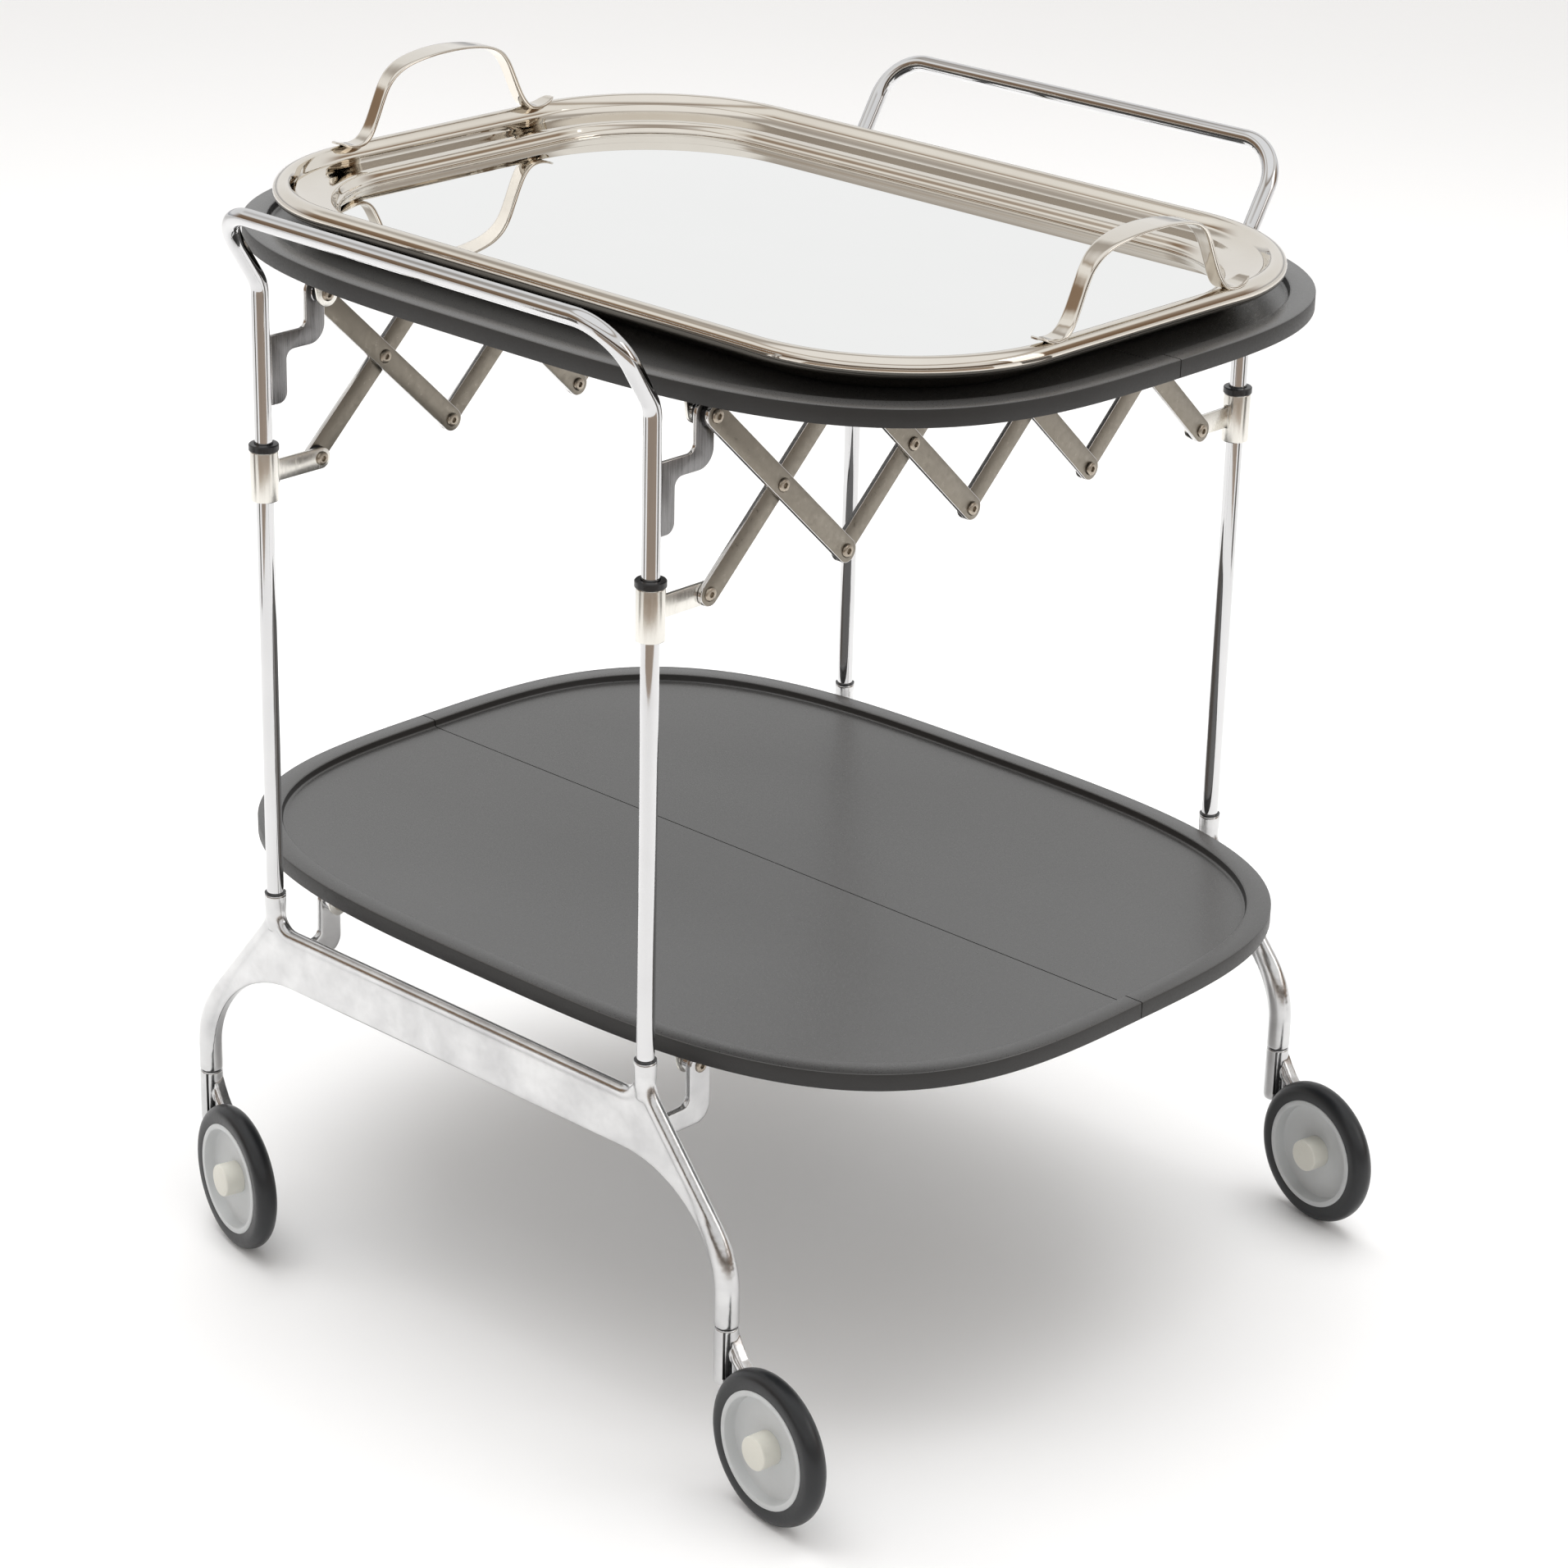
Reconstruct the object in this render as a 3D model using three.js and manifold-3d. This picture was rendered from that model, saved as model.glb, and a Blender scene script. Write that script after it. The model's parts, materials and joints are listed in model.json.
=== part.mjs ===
// Folding serving cart on casters, with a lift-off tray.
//
// Two end frames (front at -Y, rear at +Y) each hold one bent tube, one cast yoke and two casters.
// Two shelves, each split along X, fold upwards between the frames, and two scissor chains with
// sliders on the legs keep the frames upright. Millimetres, +Z up, wheels standing on z = 0.
// Each end frame is the other one turned half a turn about Z, so every part of an end is made once.
// Each rivet and pivot pin is one solid with the piece that it is peened into, and runs with
// clearance in the others. "Left" is -X and "right" is +X at both ends.
import * as THREE from "three";
import { mergeVertices } from "three/addons/utils/BufferGeometryUtils.js";
import Module from "manifold-3d";

const wasm = await Module();
wasm.setup();

// The casters trail towards +X, so the cart is moved to centre its bounding box on the origin.
const CART_SHIFT_X = -6.3;
const CART_SHIFT_Y = 1;

// End frames.
const LEG_X = 168;
const FRAME_Y = 270;
const TUBE_R = 5.5;
const HANDLE_Y = 302;
const HANDLE_Z = 709;
const HANDLE_KINK_Z = 657;
const KINK_BEND_R = 22;
const HANDLE_BEND_R = 30;
const SOCKET_TOP_Z = 253.3;
const SOCKET_R = 7;
const SOCKET_DEPTH = 18;
const CROSSBAR_TOP_Z = 226.5;
const CROSSBAR_LOW_Z = 191;
const CROSSBAR_BEAD_R = 4.8;
const WEB_T = 7;
const FIT = 0.3;

// Folding shelves.
const SHELF_HALF_X = 327;
const SHELF_HALF_Y = 250;
const SHELF_POWER = 3.3;
const RIM_W = 14;
const RIM_H = 11.5;
const RECESS = 5;
const FLOOR_T = 3.5;
const SKIRT_T = 4;
const SEAM_GAP = 0.8;
const RIM_OVER_PIVOT = 21;

// Pivot lines of the shelves and of the scissor chains.
const PIVOT_Y = 225.2;
const UPPER_PIVOT_Z = 643.8;
const LOWER_PIVOT_Z = 235;
const SLIDER_PIVOT_Z = 536.3;
const CELL = PIVOT_Y / 2;
const BAR_W = 15;

// Layers of sheet metal, counted away from the middle of the cart along X.
const EAR = [157.2, 159.4];
const BRACKET = [165.9, 168.4];
const HOOK = [165.9, 170.4];
const INNER = [168.7, 171.7];
const OUTER = [172, 175];
const PIN_R = 2.4;
const HOLE_R = 2.7;
const HEAD_R = 4.7;
const HEAD_H = 1.8;
const SPACER_R = 6.4;

// Seam hinges under each shelf.
const SEAM_AXIS = 8.3;
const SEAM_HINGE_X = 212;
const LEAF_X = 22;
const LEAF_Y = 24;
const KNUCKLE_R = 3.7;
const KNUCKLE_X = 7;
const HINGE_PIN_R = 1.4;

// Casters.
const CASTER_X = 238.5;
const CASTER_TOP_Z = 102.6;
const NECK_R = 7.5;
const NECK_LOW_Z = 65;
const STEM_R = 4;
const STEM_TOP_Z = 122;
const TRAIL = 54.6;
const WHEEL_R = 48.8;
const WHEEL_Y = -10;
const TYRE_W = 15;
const RIM_R = 37;
const CAP_R = 10.8;
const AXLE_R = 3.5;
const ARM = [-1.4, 6];

// Tray.
const TRAY_HALF_X = 306;
const TRAY_HALF_Y = 208;
const TRAY_CORNER_R = 122;
const TRAY_CORNER_EASE = 0.8;
const TRAY_ROLL_R = 6.5;
const TRAY_ROLL_Z = 680.8;
const TRAY_BASE_Z = 660.2;
const MIRROR_INSET = 39;
const MIRROR = [664.4, 667.4];
const TRAY_HANDLE_X = 297;
const HANDLE_T = 2.4;
const HANDLE_W = 12;

const material = (color, roughness, metalness) =>
  new THREE.MeshStandardMaterial({ color, roughness, metalness });

const CHROME = () => material(0xd8dadb, 0.08, 1);
const CAST = () => material(0xc9cbcb, 0.28, 1);
const STEEL = () => material(0xa39d95, 0.38, 1);
const NICKEL = () => material(0xc4b8a8, 0.2, 1);
const SILVER = () => material(0xd9cfc3, 0.1, 1);
const BLACK = () => material(0x1a1a1b, 0.5, 0);
const SHELF = () => material(0x3a3a3b, 0.6, 0);
const TYRE = () => material(0x202326, 0.3, 0);
const RIM_GREY = () => material(0xb4b9bb, 0.5, 0);
const CAP_GREY = () => material(0xb8b7aa, 0.55, 0);
const MIRROR_GLASS = () => material(0xe9ebec, 0.02, 1);

// ---- solids ----

// A closed manifold solid from a three.js geometry.
function solid(geometry) {
  const plain = geometry.index ? geometry.toNonIndexed() : geometry.clone();
  plain.deleteAttribute("normal");
  plain.deleteAttribute("uv");
  const merged = mergeVertices(plain, 1e-4);
  const mesh = new wasm.Mesh({
    numProp: 3,
    vertProperties: Float32Array.from(merged.attributes.position.array),
    triVerts: Uint32Array.from(merged.index.array),
  });
  mesh.merge();
  return new wasm.Manifold(mesh);
}

const union = (solids) => solids.reduce((whole, next) => whole.add(next));

function geometryOf(body) {
  const mesh = body.getMesh();
  const geometry = new THREE.BufferGeometry();
  geometry.setAttribute("position", new THREE.BufferAttribute(mesh.vertProperties, 3));
  geometry.setIndex(new THREE.BufferAttribute(mesh.triVerts, 1));
  return geometry;
}

function piece(name, look, body) {
  const geometry = geometryOf(body);
  geometry.computeVertexNormals();
  const mesh = new THREE.Mesh(geometry, look);
  mesh.name = name;
  return mesh;
}

// The outline's points, without the doubled ones where a line meets an arc.
function outline(path) {
  const points = [];
  for (const point of path.getPoints(4)) {
    const last = points[points.length - 1];
    if (!last || last.distanceTo(point) > 0.01) {
      points.push(point);
    }
  }
  if (points[0].distanceTo(points[points.length - 1]) < 0.01) {
    points.pop();
  }
  return points;
}

function flat(shape, depth) {
  const clean = new THREE.Shape(outline(shape));
  clean.holes = shape.holes.map((hole) => new THREE.Path(outline(hole)));
  return new THREE.ExtrudeGeometry(clean, { depth, bevelEnabled: false });
}

// A plate whose outline is drawn in (y, z), from x = low to x = high.
function plateYZ(shape, [low, high]) {
  const geometry = flat(shape, high - low);
  const axes = new THREE.Matrix4().makeBasis(
    new THREE.Vector3(0, 1, 0), new THREE.Vector3(0, 0, 1), new THREE.Vector3(1, 0, 0));
  geometry.applyMatrix4(axes);
  geometry.translate(low, 0, 0);
  return solid(geometry);
}

// A plate whose outline is drawn in (x, z), from y = low to y = high.
function plateXZ(shape, [low, high]) {
  const geometry = flat(shape, high - low);
  geometry.rotateX(Math.PI / 2);
  geometry.translate(0, high, 0);
  return solid(geometry);
}

// A plate whose outline is drawn in (x, y), from z = low to z = high.
function plateXY(shape, [low, high]) {
  const geometry = flat(shape, high - low);
  geometry.translate(0, 0, low);
  return solid(geometry);
}

// A turned solid. The profile is a closed loop of (radius, distance along the axis).
function turned(profile, axis, sides) {
  const points = profile.map(([r, h]) => new THREE.Vector2(r, h));
  if (profile[0][0] > 0) {
    points.push(points[0].clone());
  }
  const geometry = new THREE.LatheGeometry(points, sides);
  if (axis === "x") {
    geometry.rotateZ(-Math.PI / 2);
  }
  if (axis === "z") {
    geometry.rotateX(Math.PI / 2);
  }
  const body = solid(geometry);
  return body.volume() > 0 ? body : solid(flipped(geometry));
}

function flipped(geometry) {
  const index = geometry.index.array;
  for (let i = 0; i < index.length; i += 3) {
    const first = index[i];
    index[i] = index[i + 1];
    index[i + 1] = first;
  }
  return geometry;
}

const rod = (radius, low, high, axis, sides = 10) =>
  turned([[0, low], [radius, low], [radius, high], [0, high]], axis, sides);

const ring = (inner, outer, low, high, axis, sides = 16) =>
  turned([[inner, low], [outer, low], [outer, high], [inner, high]], axis, sides);

// ---- bent rods ----

// A route of straight runs joined by round bends, walked corner by corner.
function bentRoute(corners, radii, degreesPerStep) {
  const points = [corners[0].clone()];
  for (let i = 1; i < corners.length - 1; i += 1) {
    const back = corners[i - 1].clone().sub(corners[i]).normalize();
    const ahead = corners[i + 1].clone().sub(corners[i]).normalize();
    const turn = Math.PI - back.angleTo(ahead);
    const reach = radii[i - 1] * Math.tan(turn / 2);
    const start = corners[i].clone().addScaledVector(back, reach);
    const middle = back.clone().add(ahead).normalize();
    const centre = corners[i].clone().addScaledVector(middle, Math.hypot(reach, radii[i - 1]));
    const arm = start.sub(centre);
    const axis = new THREE.Vector3().crossVectors(ahead, back).normalize();
    const steps = Math.max(2, Math.ceil(THREE.MathUtils.radToDeg(turn) / degreesPerStep));
    for (let step = 0; step <= steps; step += 1) {
      const swung = arm.clone().applyAxisAngle(axis, (turn * step) / steps);
      points.push(centre.clone().add(swung));
    }
  }
  points.push(corners[corners.length - 1].clone());
  return points;
}

// A curve that visits every given point at equal steps of its parameter.
class Route extends THREE.Curve {
  constructor(points) {
    super();
    this.points = points;
  }

  getPoint(t) {
    const place = t * (this.points.length - 1);
    const i = Math.min(Math.floor(place), this.points.length - 2);
    return this.points[i].clone().lerp(this.points[i + 1], place - i);
  }

  getPointAt(t) {
    return this.getPoint(t);
  }

  getTangentAt(t) {
    const last = this.points.length - 1;
    const i = Math.round(t * last);
    const before = this.points[Math.max(0, i - 1)];
    const after = this.points[Math.min(last, i + 1)];
    const here = this.points[i];
    const inward = i > 0 ? here.clone().sub(before).normalize() : new THREE.Vector3();
    const outward = i < last ? after.clone().sub(here).normalize() : new THREE.Vector3();
    return inward.add(outward).normalize();
  }
}

function sweep(points, radius, sides) {
  const section = new THREE.Shape();
  for (let i = 0; i < sides; i += 1) {
    const angle = (2 * Math.PI * i) / sides;
    const x = radius * Math.cos(angle);
    const y = radius * Math.sin(angle);
    if (i === 0) {
      section.moveTo(x, y);
    } else {
      section.lineTo(x, y);
    }
  }
  section.closePath();
  return solid(new THREE.ExtrudeGeometry(section, {
    steps: points.length - 1,
    extrudePath: new Route(points),
  }));
}

// ---- end frame ----

function frameTube() {
  const foot = SOCKET_TOP_Z - SOCKET_DEPTH + FIT;
  const corners = [
    new THREE.Vector3(LEG_X, -FRAME_Y, foot),
    new THREE.Vector3(LEG_X, -FRAME_Y, HANDLE_KINK_Z),
    new THREE.Vector3(LEG_X, -HANDLE_Y, HANDLE_Z),
    new THREE.Vector3(-LEG_X, -HANDLE_Y, HANDLE_Z),
    new THREE.Vector3(-LEG_X, -FRAME_Y, HANDLE_KINK_Z),
    new THREE.Vector3(-LEG_X, -FRAME_Y, foot),
  ];
  const radii = [KINK_BEND_R, HANDLE_BEND_R, HANDLE_BEND_R, KINK_BEND_R];
  return sweep(bentRoute(corners, radii, 15), TUBE_R, 12);
}

// The flat web of the yoke: the crossbar, and the gussets down to the splayed legs.
function yokeWebShape() {
  const archX = 150;
  const archFootX = CASTER_X - NECK_R;
  const archFootZ = 118;
  const shape = new THREE.Shape();
  shape.moveTo(-archX, CROSSBAR_LOW_Z);
  shape.lineTo(archX, CROSSBAR_LOW_Z);
  for (let step = 1; step <= 5; step += 1) {
    const angle = (Math.PI / 2) * (step / 5);
    const x = archX + (archFootX - archX) * Math.sin(angle);
    const z = archFootZ + (CROSSBAR_LOW_Z - archFootZ) * Math.cos(angle);
    shape.lineTo(x, z);
  }
  shape.lineTo(CASTER_X - 1, archFootZ);
  shape.lineTo(CASTER_X - 4, 142);
  shape.lineTo(LEG_X + 5, 229);
  shape.lineTo(LEG_X, CROSSBAR_TOP_Z + 16);
  shape.lineTo(LEG_X - 12, CROSSBAR_TOP_Z);
  shape.lineTo(-LEG_X + 12, CROSSBAR_TOP_Z);
  shape.lineTo(-LEG_X, CROSSBAR_TOP_Z + 16);
  shape.lineTo(-LEG_X - 5, 229);
  shape.lineTo(-CASTER_X + 4, 142);
  shape.lineTo(-CASTER_X + 1, archFootZ);
  for (let step = 5; step >= 1; step -= 1) {
    const angle = (Math.PI / 2) * (step / 5);
    const x = archX + (archFootX - archX) * Math.sin(angle);
    const z = archFootZ + (CROSSBAR_LOW_Z - archFootZ) * Math.cos(angle);
    shape.lineTo(-x, z);
  }
  shape.closePath();
  return shape;
}

function yoke() {
  const web = plateXZ(yokeWebShape(), [-FRAME_Y - WEB_T / 2, -FRAME_Y + WEB_T / 2]);
  const beadX = LEG_X - 1;
  const bead = sweep(bentRoute([
    new THREE.Vector3(-beadX, -FRAME_Y, SOCKET_TOP_Z - 9),
    new THREE.Vector3(-beadX, -FRAME_Y, CROSSBAR_TOP_Z),
    new THREE.Vector3(beadX, -FRAME_Y, CROSSBAR_TOP_Z),
    new THREE.Vector3(beadX, -FRAME_Y, SOCKET_TOP_Z - 9),
  ], [16, 16], 30), CROSSBAR_BEAD_R, 8);
  const solids = [web, bead];
  const bores = [];
  for (const side of [-1, 1]) {
    const leg = bentRoute([
      new THREE.Vector3(side * LEG_X, -FRAME_Y, SOCKET_TOP_Z),
      new THREE.Vector3(side * LEG_X, -FRAME_Y, 234.7),
      new THREE.Vector3(side * CASTER_X, -FRAME_Y, 145.4),
      new THREE.Vector3(side * CASTER_X, -FRAME_Y, CASTER_TOP_Z + FIT),
    ], [22, 65], 16);
    solids.push(sweep(leg, SOCKET_R + 0.4, 10), lowerHook(side));
    const bore = rod(TUBE_R + FIT, SOCKET_TOP_Z - SOCKET_DEPTH, SOCKET_TOP_Z + 5, "z", 12);
    bores.push(bore.translate([side * LEG_X, -FRAME_Y, 0]));
    const stemBore = rod(STEM_R + FIT, CASTER_TOP_Z - 5, STEM_TOP_Z + 1, "z");
    bores.push(stemBore.translate([side * CASTER_X, -FRAME_Y, 0]));
  }
  return union(solids).subtract(union(bores));
}

// The S-shaped plate from the leg up to the shelf pivot, drawn in (y, z) about the pivot.
function upperBracketShape() {
  const legFace = -(FRAME_Y - TUBE_R - PIVOT_Y) + FIT;
  const knuckle = 10.5;
  const shape = new THREE.Shape();
  shape.moveTo(legFace, -65);
  shape.lineTo(-33, -65);
  shape.absarc(-33, -58.5, 6.5, -Math.PI / 2, 0, false);
  shape.lineTo(-26.5, -38.3);
  shape.absarc(-20.5, -38.3, 6, Math.PI, Math.PI / 2, true);
  shape.lineTo(-7.5, -32.3);
  shape.absarc(-7.5, -20.3, 12, -Math.PI / 2, 0, false);
  const meet = Math.acos(4.5 / knuckle);
  shape.absarc(0, 0, knuckle, -meet, Math.PI, false);
  shape.lineTo(-knuckle, -15.8);
  shape.absarc(-knuckle - 5, -15.8, 5, 0, -Math.PI / 2, true);
  shape.lineTo(legFace, -20.8);
  shape.closePath();
  return shape;
}

// The hook from the back of the yoke up to the lower shelf pivot, drawn about the pivot.
function lowerHookShape() {
  const yokeFace = -(FRAME_Y - PIVOT_Y);
  const reach = 9.2;
  const shape = new THREE.Shape();
  shape.moveTo(yokeFace, -38.5);
  shape.lineTo(-3, -38.5);
  shape.absarc(-3, -26.5, 12, -Math.PI / 2, 0, false);
  shape.lineTo(reach, 0);
  shape.absarc(0, 0, reach, 0, Math.PI, false);
  shape.lineTo(-reach, -18);
  shape.absarc(-reach - 6, -18, 6, 0, -Math.PI / 2, true);
  shape.lineTo(yokeFace, -24);
  shape.closePath();
  return shape;
}

function circlePath(x, y, radius) {
  const path = new THREE.Path();
  path.absarc(x, y, radius, 0, 2 * Math.PI, true);
  return path;
}

// Turns a layer [low, high] into the same layer on the far side of the cart.
const onSide = (side, [low, high]) => (side > 0 ? [low, high] : [-high, -low]);

// A pin along X on one side of the cart, its shank from inner to outer, with a head past each end.
function headedPin(side, inner, outer, heads = ["inner", "outer"]) {
  const profile = [];
  if (heads.includes("inner")) {
    profile.push([0, inner - HEAD_H], [HEAD_R * 0.8, inner - HEAD_H], [HEAD_R, inner]);
  } else {
    profile.push([0, inner]);
  }
  profile.push([PIN_R, inner], [PIN_R, outer]);
  if (heads.includes("outer")) {
    profile.push([HEAD_R, outer], [HEAD_R * 0.8, outer + HEAD_H], [0, outer + HEAD_H]);
  } else {
    profile.push([0, outer]);
  }
  return turned(profile.map(([r, x]) => [r, side * x]), "x", 8);
}

// A solid spacer round a pin, from inner to outer on one side of the cart.
const spacer = (side, inner, outer) => rod(SPACER_R, ...onSide(side, [inner, outer]), "x", 10);

// Which layer a bar of the front half-chain lies in: bars that fall towards the rear are outside
// on the chain at +X and inside on the one at -X, bars that rise are the other way round.
const layerOf = (side, kind) => ((kind === "falling") === (side > 0) ? OUTER : INNER);

// The bracket carries the upper pivot pin, which goes through the shelf's ear and a bar's end.
function upperBracket(side) {
  const bar = layerOf(side, "falling");
  const plate = plateYZ(upperBracketShape(), onSide(side, BRACKET));
  const barrel = spacer(side, EAR[1] + FIT, BRACKET[0] + 0.5);
  const washer = spacer(side, BRACKET[1] - 0.5, bar[0] - FIT);
  const pin = headedPin(side, EAR[0] - FIT, bar[1] + FIT);
  return union([plate, barrel, washer, pin]).translate([0, -PIVOT_Y, UPPER_PIVOT_Z]);
}

// The hook carries the lower pivot pin, which goes through the lower shelf's ear.
function lowerHook(side) {
  const plate = plateYZ(lowerHookShape(), onSide(side, HOOK));
  const barrel = spacer(side, EAR[1] + FIT, HOOK[0] + 0.5);
  const pin = headedPin(side, EAR[0] - FIT, HOOK[1]);
  return union([plate, barrel, pin]).translate([0, -PIVOT_Y, LOWER_PIVOT_Z]);
}

// ---- sliders on the legs ----

const SLEEVE = { low: 519, high: 551, bore: 7.1, outer: 8.8 };
const BUSH = { bore: 5.8, liner: 6.8, flange: 9.5, top: 555.6 };
const TAB_H = 13.6;

function sliderSleeve(side) {
  const tube = ring(SLEEVE.bore, SLEEVE.outer, SLEEVE.low, SLEEVE.high, "z", 16);
  const root = -(FRAME_Y - SLEEVE.outer - PIVOT_Y) - 1;
  const tab = new THREE.Shape();
  tab.moveTo(root, -TAB_H / 2);
  tab.lineTo(0, -TAB_H / 2);
  tab.absarc(0, 0, TAB_H / 2, -Math.PI / 2, Math.PI / 2, false);
  tab.lineTo(root, TAB_H / 2);
  tab.closePath();
  tab.holes.push(circlePath(0, 0, HOLE_R));
  const plate = plateYZ(tab, onSide(side, BRACKET)).translate([0, -PIVOT_Y, SLIDER_PIVOT_Z]);
  return tube.translate([side * LEG_X, -FRAME_Y, 0]).add(plate);
}

function sliderBushing(side) {
  const profile = [
    [BUSH.bore, SLEEVE.low + 1], [BUSH.liner, SLEEVE.low + 1], [BUSH.liner, SLEEVE.high + FIT],
    [BUSH.flange, SLEEVE.high + FIT], [BUSH.flange, BUSH.top], [BUSH.bore, BUSH.top],
  ];
  return turned(profile, "z", 16).translate([side * LEG_X, -FRAME_Y, 0]);
}

// ---- scissor chains ----

const upperNode = (k) => [-PIVOT_Y + k * CELL, UPPER_PIVOT_Z];
const lowerNode = (k) => [-PIVOT_Y + k * CELL, SLIDER_PIVOT_Z];
const crossing = (k) => [-PIVOT_Y + (k - 0.5) * CELL, (UPPER_PIVOT_Z + SLIDER_PIVOT_Z) / 2];

// The bars of the front half-chain. Each owns the rivets listed for it. A rivet goes through both
// layers; a stud ends in its own layer, at the middle nodes where the two half-chains meet.
const BARS = {
  falling_1: {
    kind: "falling",
    holes: [upperNode(0)],
    rivets: [crossing(1), lowerNode(1)],
    studs: [],
    from: upperNode(0),
    to: lowerNode(1),
  },
  rising_1: {
    kind: "rising",
    holes: [crossing(1)],
    rivets: [upperNode(1)],
    studs: [],
    from: lowerNode(0),
    to: upperNode(1),
  },
  rising_2: {
    kind: "rising",
    holes: [lowerNode(1)],
    rivets: [crossing(2)],
    studs: [upperNode(2)],
    from: lowerNode(1),
    to: upperNode(2),
  },
  falling_2: {
    kind: "falling",
    holes: [upperNode(1), crossing(2)],
    rivets: [],
    studs: [lowerNode(2)],
    from: upperNode(1),
    to: lowerNode(2),
  },
};

function barShape({ from: [y0, z0], to: [y1, z1], holes }) {
  const angle = Math.atan2(z1 - z0, y1 - y0);
  const shape = new THREE.Shape();
  shape.absarc(y0, z0, BAR_W / 2, angle + Math.PI / 2, angle + 1.5 * Math.PI, false);
  shape.absarc(y1, z1, BAR_W / 2, angle - Math.PI / 2, angle + Math.PI / 2, false);
  shape.closePath();
  shape.holes = holes.map(([y, z]) => circlePath(y, z, HOLE_R));
  return shape;
}

const place = (body, [y, z]) => body.translate([0, y, z]);

function chainBar(side, name) {
  const bar = BARS[name];
  const layer = layerOf(side, bar.kind);
  const outside = layer === OUTER;
  const solids = [plateYZ(barShape(bar), onSide(side, layer))];
  for (const node of bar.rivets) {
    const inner = INNER[0] - (outside ? FIT : 0);
    const outer = OUTER[1] + (outside ? 0 : FIT);
    solids.push(place(headedPin(side, inner, outer), node));
  }
  for (const node of bar.studs) {
    const [low, high, head] = outside
      ? [OUTER[0] + 0.5, OUTER[1], "outer"]
      : [INNER[0], INNER[1] - 0.5, "inner"];
    solids.push(place(headedPin(side, low, high, [head]), node));
  }
  if (name === "rising_1") {
    solids.push(place(headedPin(side, BRACKET[0] - FIT, layer[1]), lowerNode(0)));
    solids.push(place(spacer(side, BRACKET[1] + FIT, layer[0] + 0.5), lowerNode(0)));
  }
  return union(solids);
}

// ---- shelves ----

// The front half of the shelf outline moved in by inset; it runs up to y = seam.
function halfShelfShape(inset, seam) {
  const a = SHELF_HALF_X - inset;
  const b = SHELF_HALF_Y - inset;
  const steps = 28;
  const shape = new THREE.Shape();
  shape.moveTo(a, seam);
  for (let i = 1; i < steps; i += 1) {
    const angle = (Math.PI * i) / steps;
    const x = a * Math.sign(Math.cos(angle)) * Math.abs(Math.cos(angle)) ** (2 / SHELF_POWER);
    const y = -b * Math.sin(angle) ** (2 / SHELF_POWER);
    shape.lineTo(x, Math.min(y, seam));
  }
  shape.lineTo(-a, seam);
  shape.closePath();
  return shape;
}

// One half shelf, on its front pivot line: rim, recessed floor and hollow underside.
function halfShelf(pivotZ) {
  const top = pivotZ + RIM_OVER_PIVOT;
  const low = top - RIM_H;
  const block = plateXY(halfShelfShape(0, -SEAM_GAP / 2), [low, top]);
  const recess = plateXY(halfShelfShape(RIM_W, 1), [top - RECESS, top + 1]);
  const hollow = plateXY(halfShelfShape(SKIRT_T, 1), [low - 1, top - RECESS - FLOOR_T]);
  return block.subtract(recess).subtract(hollow);
}

const box = (x0, x1, y0, y1, z0, z1) => {
  const geometry = new THREE.BoxGeometry(x1 - x0, y1 - y0, z1 - z0);
  geometry.translate((x0 + x1) / 2, (y0 + y1) / 2, (z0 + z1) / 2);
  return solid(geometry);
};

// Under each half: two ears on the pivot pins, and its knuckles of the two seam hinges.
function shelfLugs(pivotZ, knuckles) {
  const floorLow = RIM_OVER_PIVOT - RECESS - FLOOR_T;
  const axisZ = pivotZ + SEAM_AXIS;
  const parts = [];
  for (const side of [-1, 1]) {
    const ear = new THREE.Shape();
    ear.moveTo(10, floorLow + 1);
    ear.lineTo(-10, floorLow + 1);
    ear.lineTo(-8, 0);
    ear.absarc(0, 0, 8, Math.PI, 2 * Math.PI, false);
    ear.closePath();
    ear.holes.push(circlePath(0, 0, HOLE_R));
    parts.push(plateYZ(ear, onSide(side, EAR)).translate([0, -PIVOT_Y, pivotZ]));
    for (const [from, to] of knuckles) {
      const x0 = side * SEAM_HINGE_X + from;
      const x1 = side * SEAM_HINGE_X + to;
      const leaf = box(x0, x1, -LEAF_Y, 0, pivotZ + floorLow - 2, pivotZ + floorLow - 0.3);
      const root = box(x0, x1, -LEAF_Y, -1.5, pivotZ + floorLow - 2, pivotZ + floorLow + 1);
      const barrel = rod(KNUCKLE_R, x0, x1, "x", 10).translate([0, 0, axisZ]);
      const bore = rod(HINGE_PIN_R + FIT, x0 - 1, x1 + 1, "x", 8).translate([0, 0, axisZ]);
      parts.push(leaf.add(root).add(barrel).subtract(bore));
    }
  }
  return union(parts);
}

const FRONT_KNUCKLES = [[-KNUCKLE_X, KNUCKLE_X]];
const REAR_KNUCKLES = [[-LEAF_X, -KNUCKLE_X - FIT], [KNUCKLE_X + FIT, LEAF_X]];

function seamPin(side, pivotZ) {
  const middle = side * SEAM_HINGE_X;
  const pin = rod(HINGE_PIN_R, middle - LEAF_X - 0.5, middle + LEAF_X + 0.5, "x", 8);
  return pin.translate([0, 0, pivotZ + SEAM_AXIS]);
}

// ---- casters, about their swivel axis, trailing towards +X ----

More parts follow.
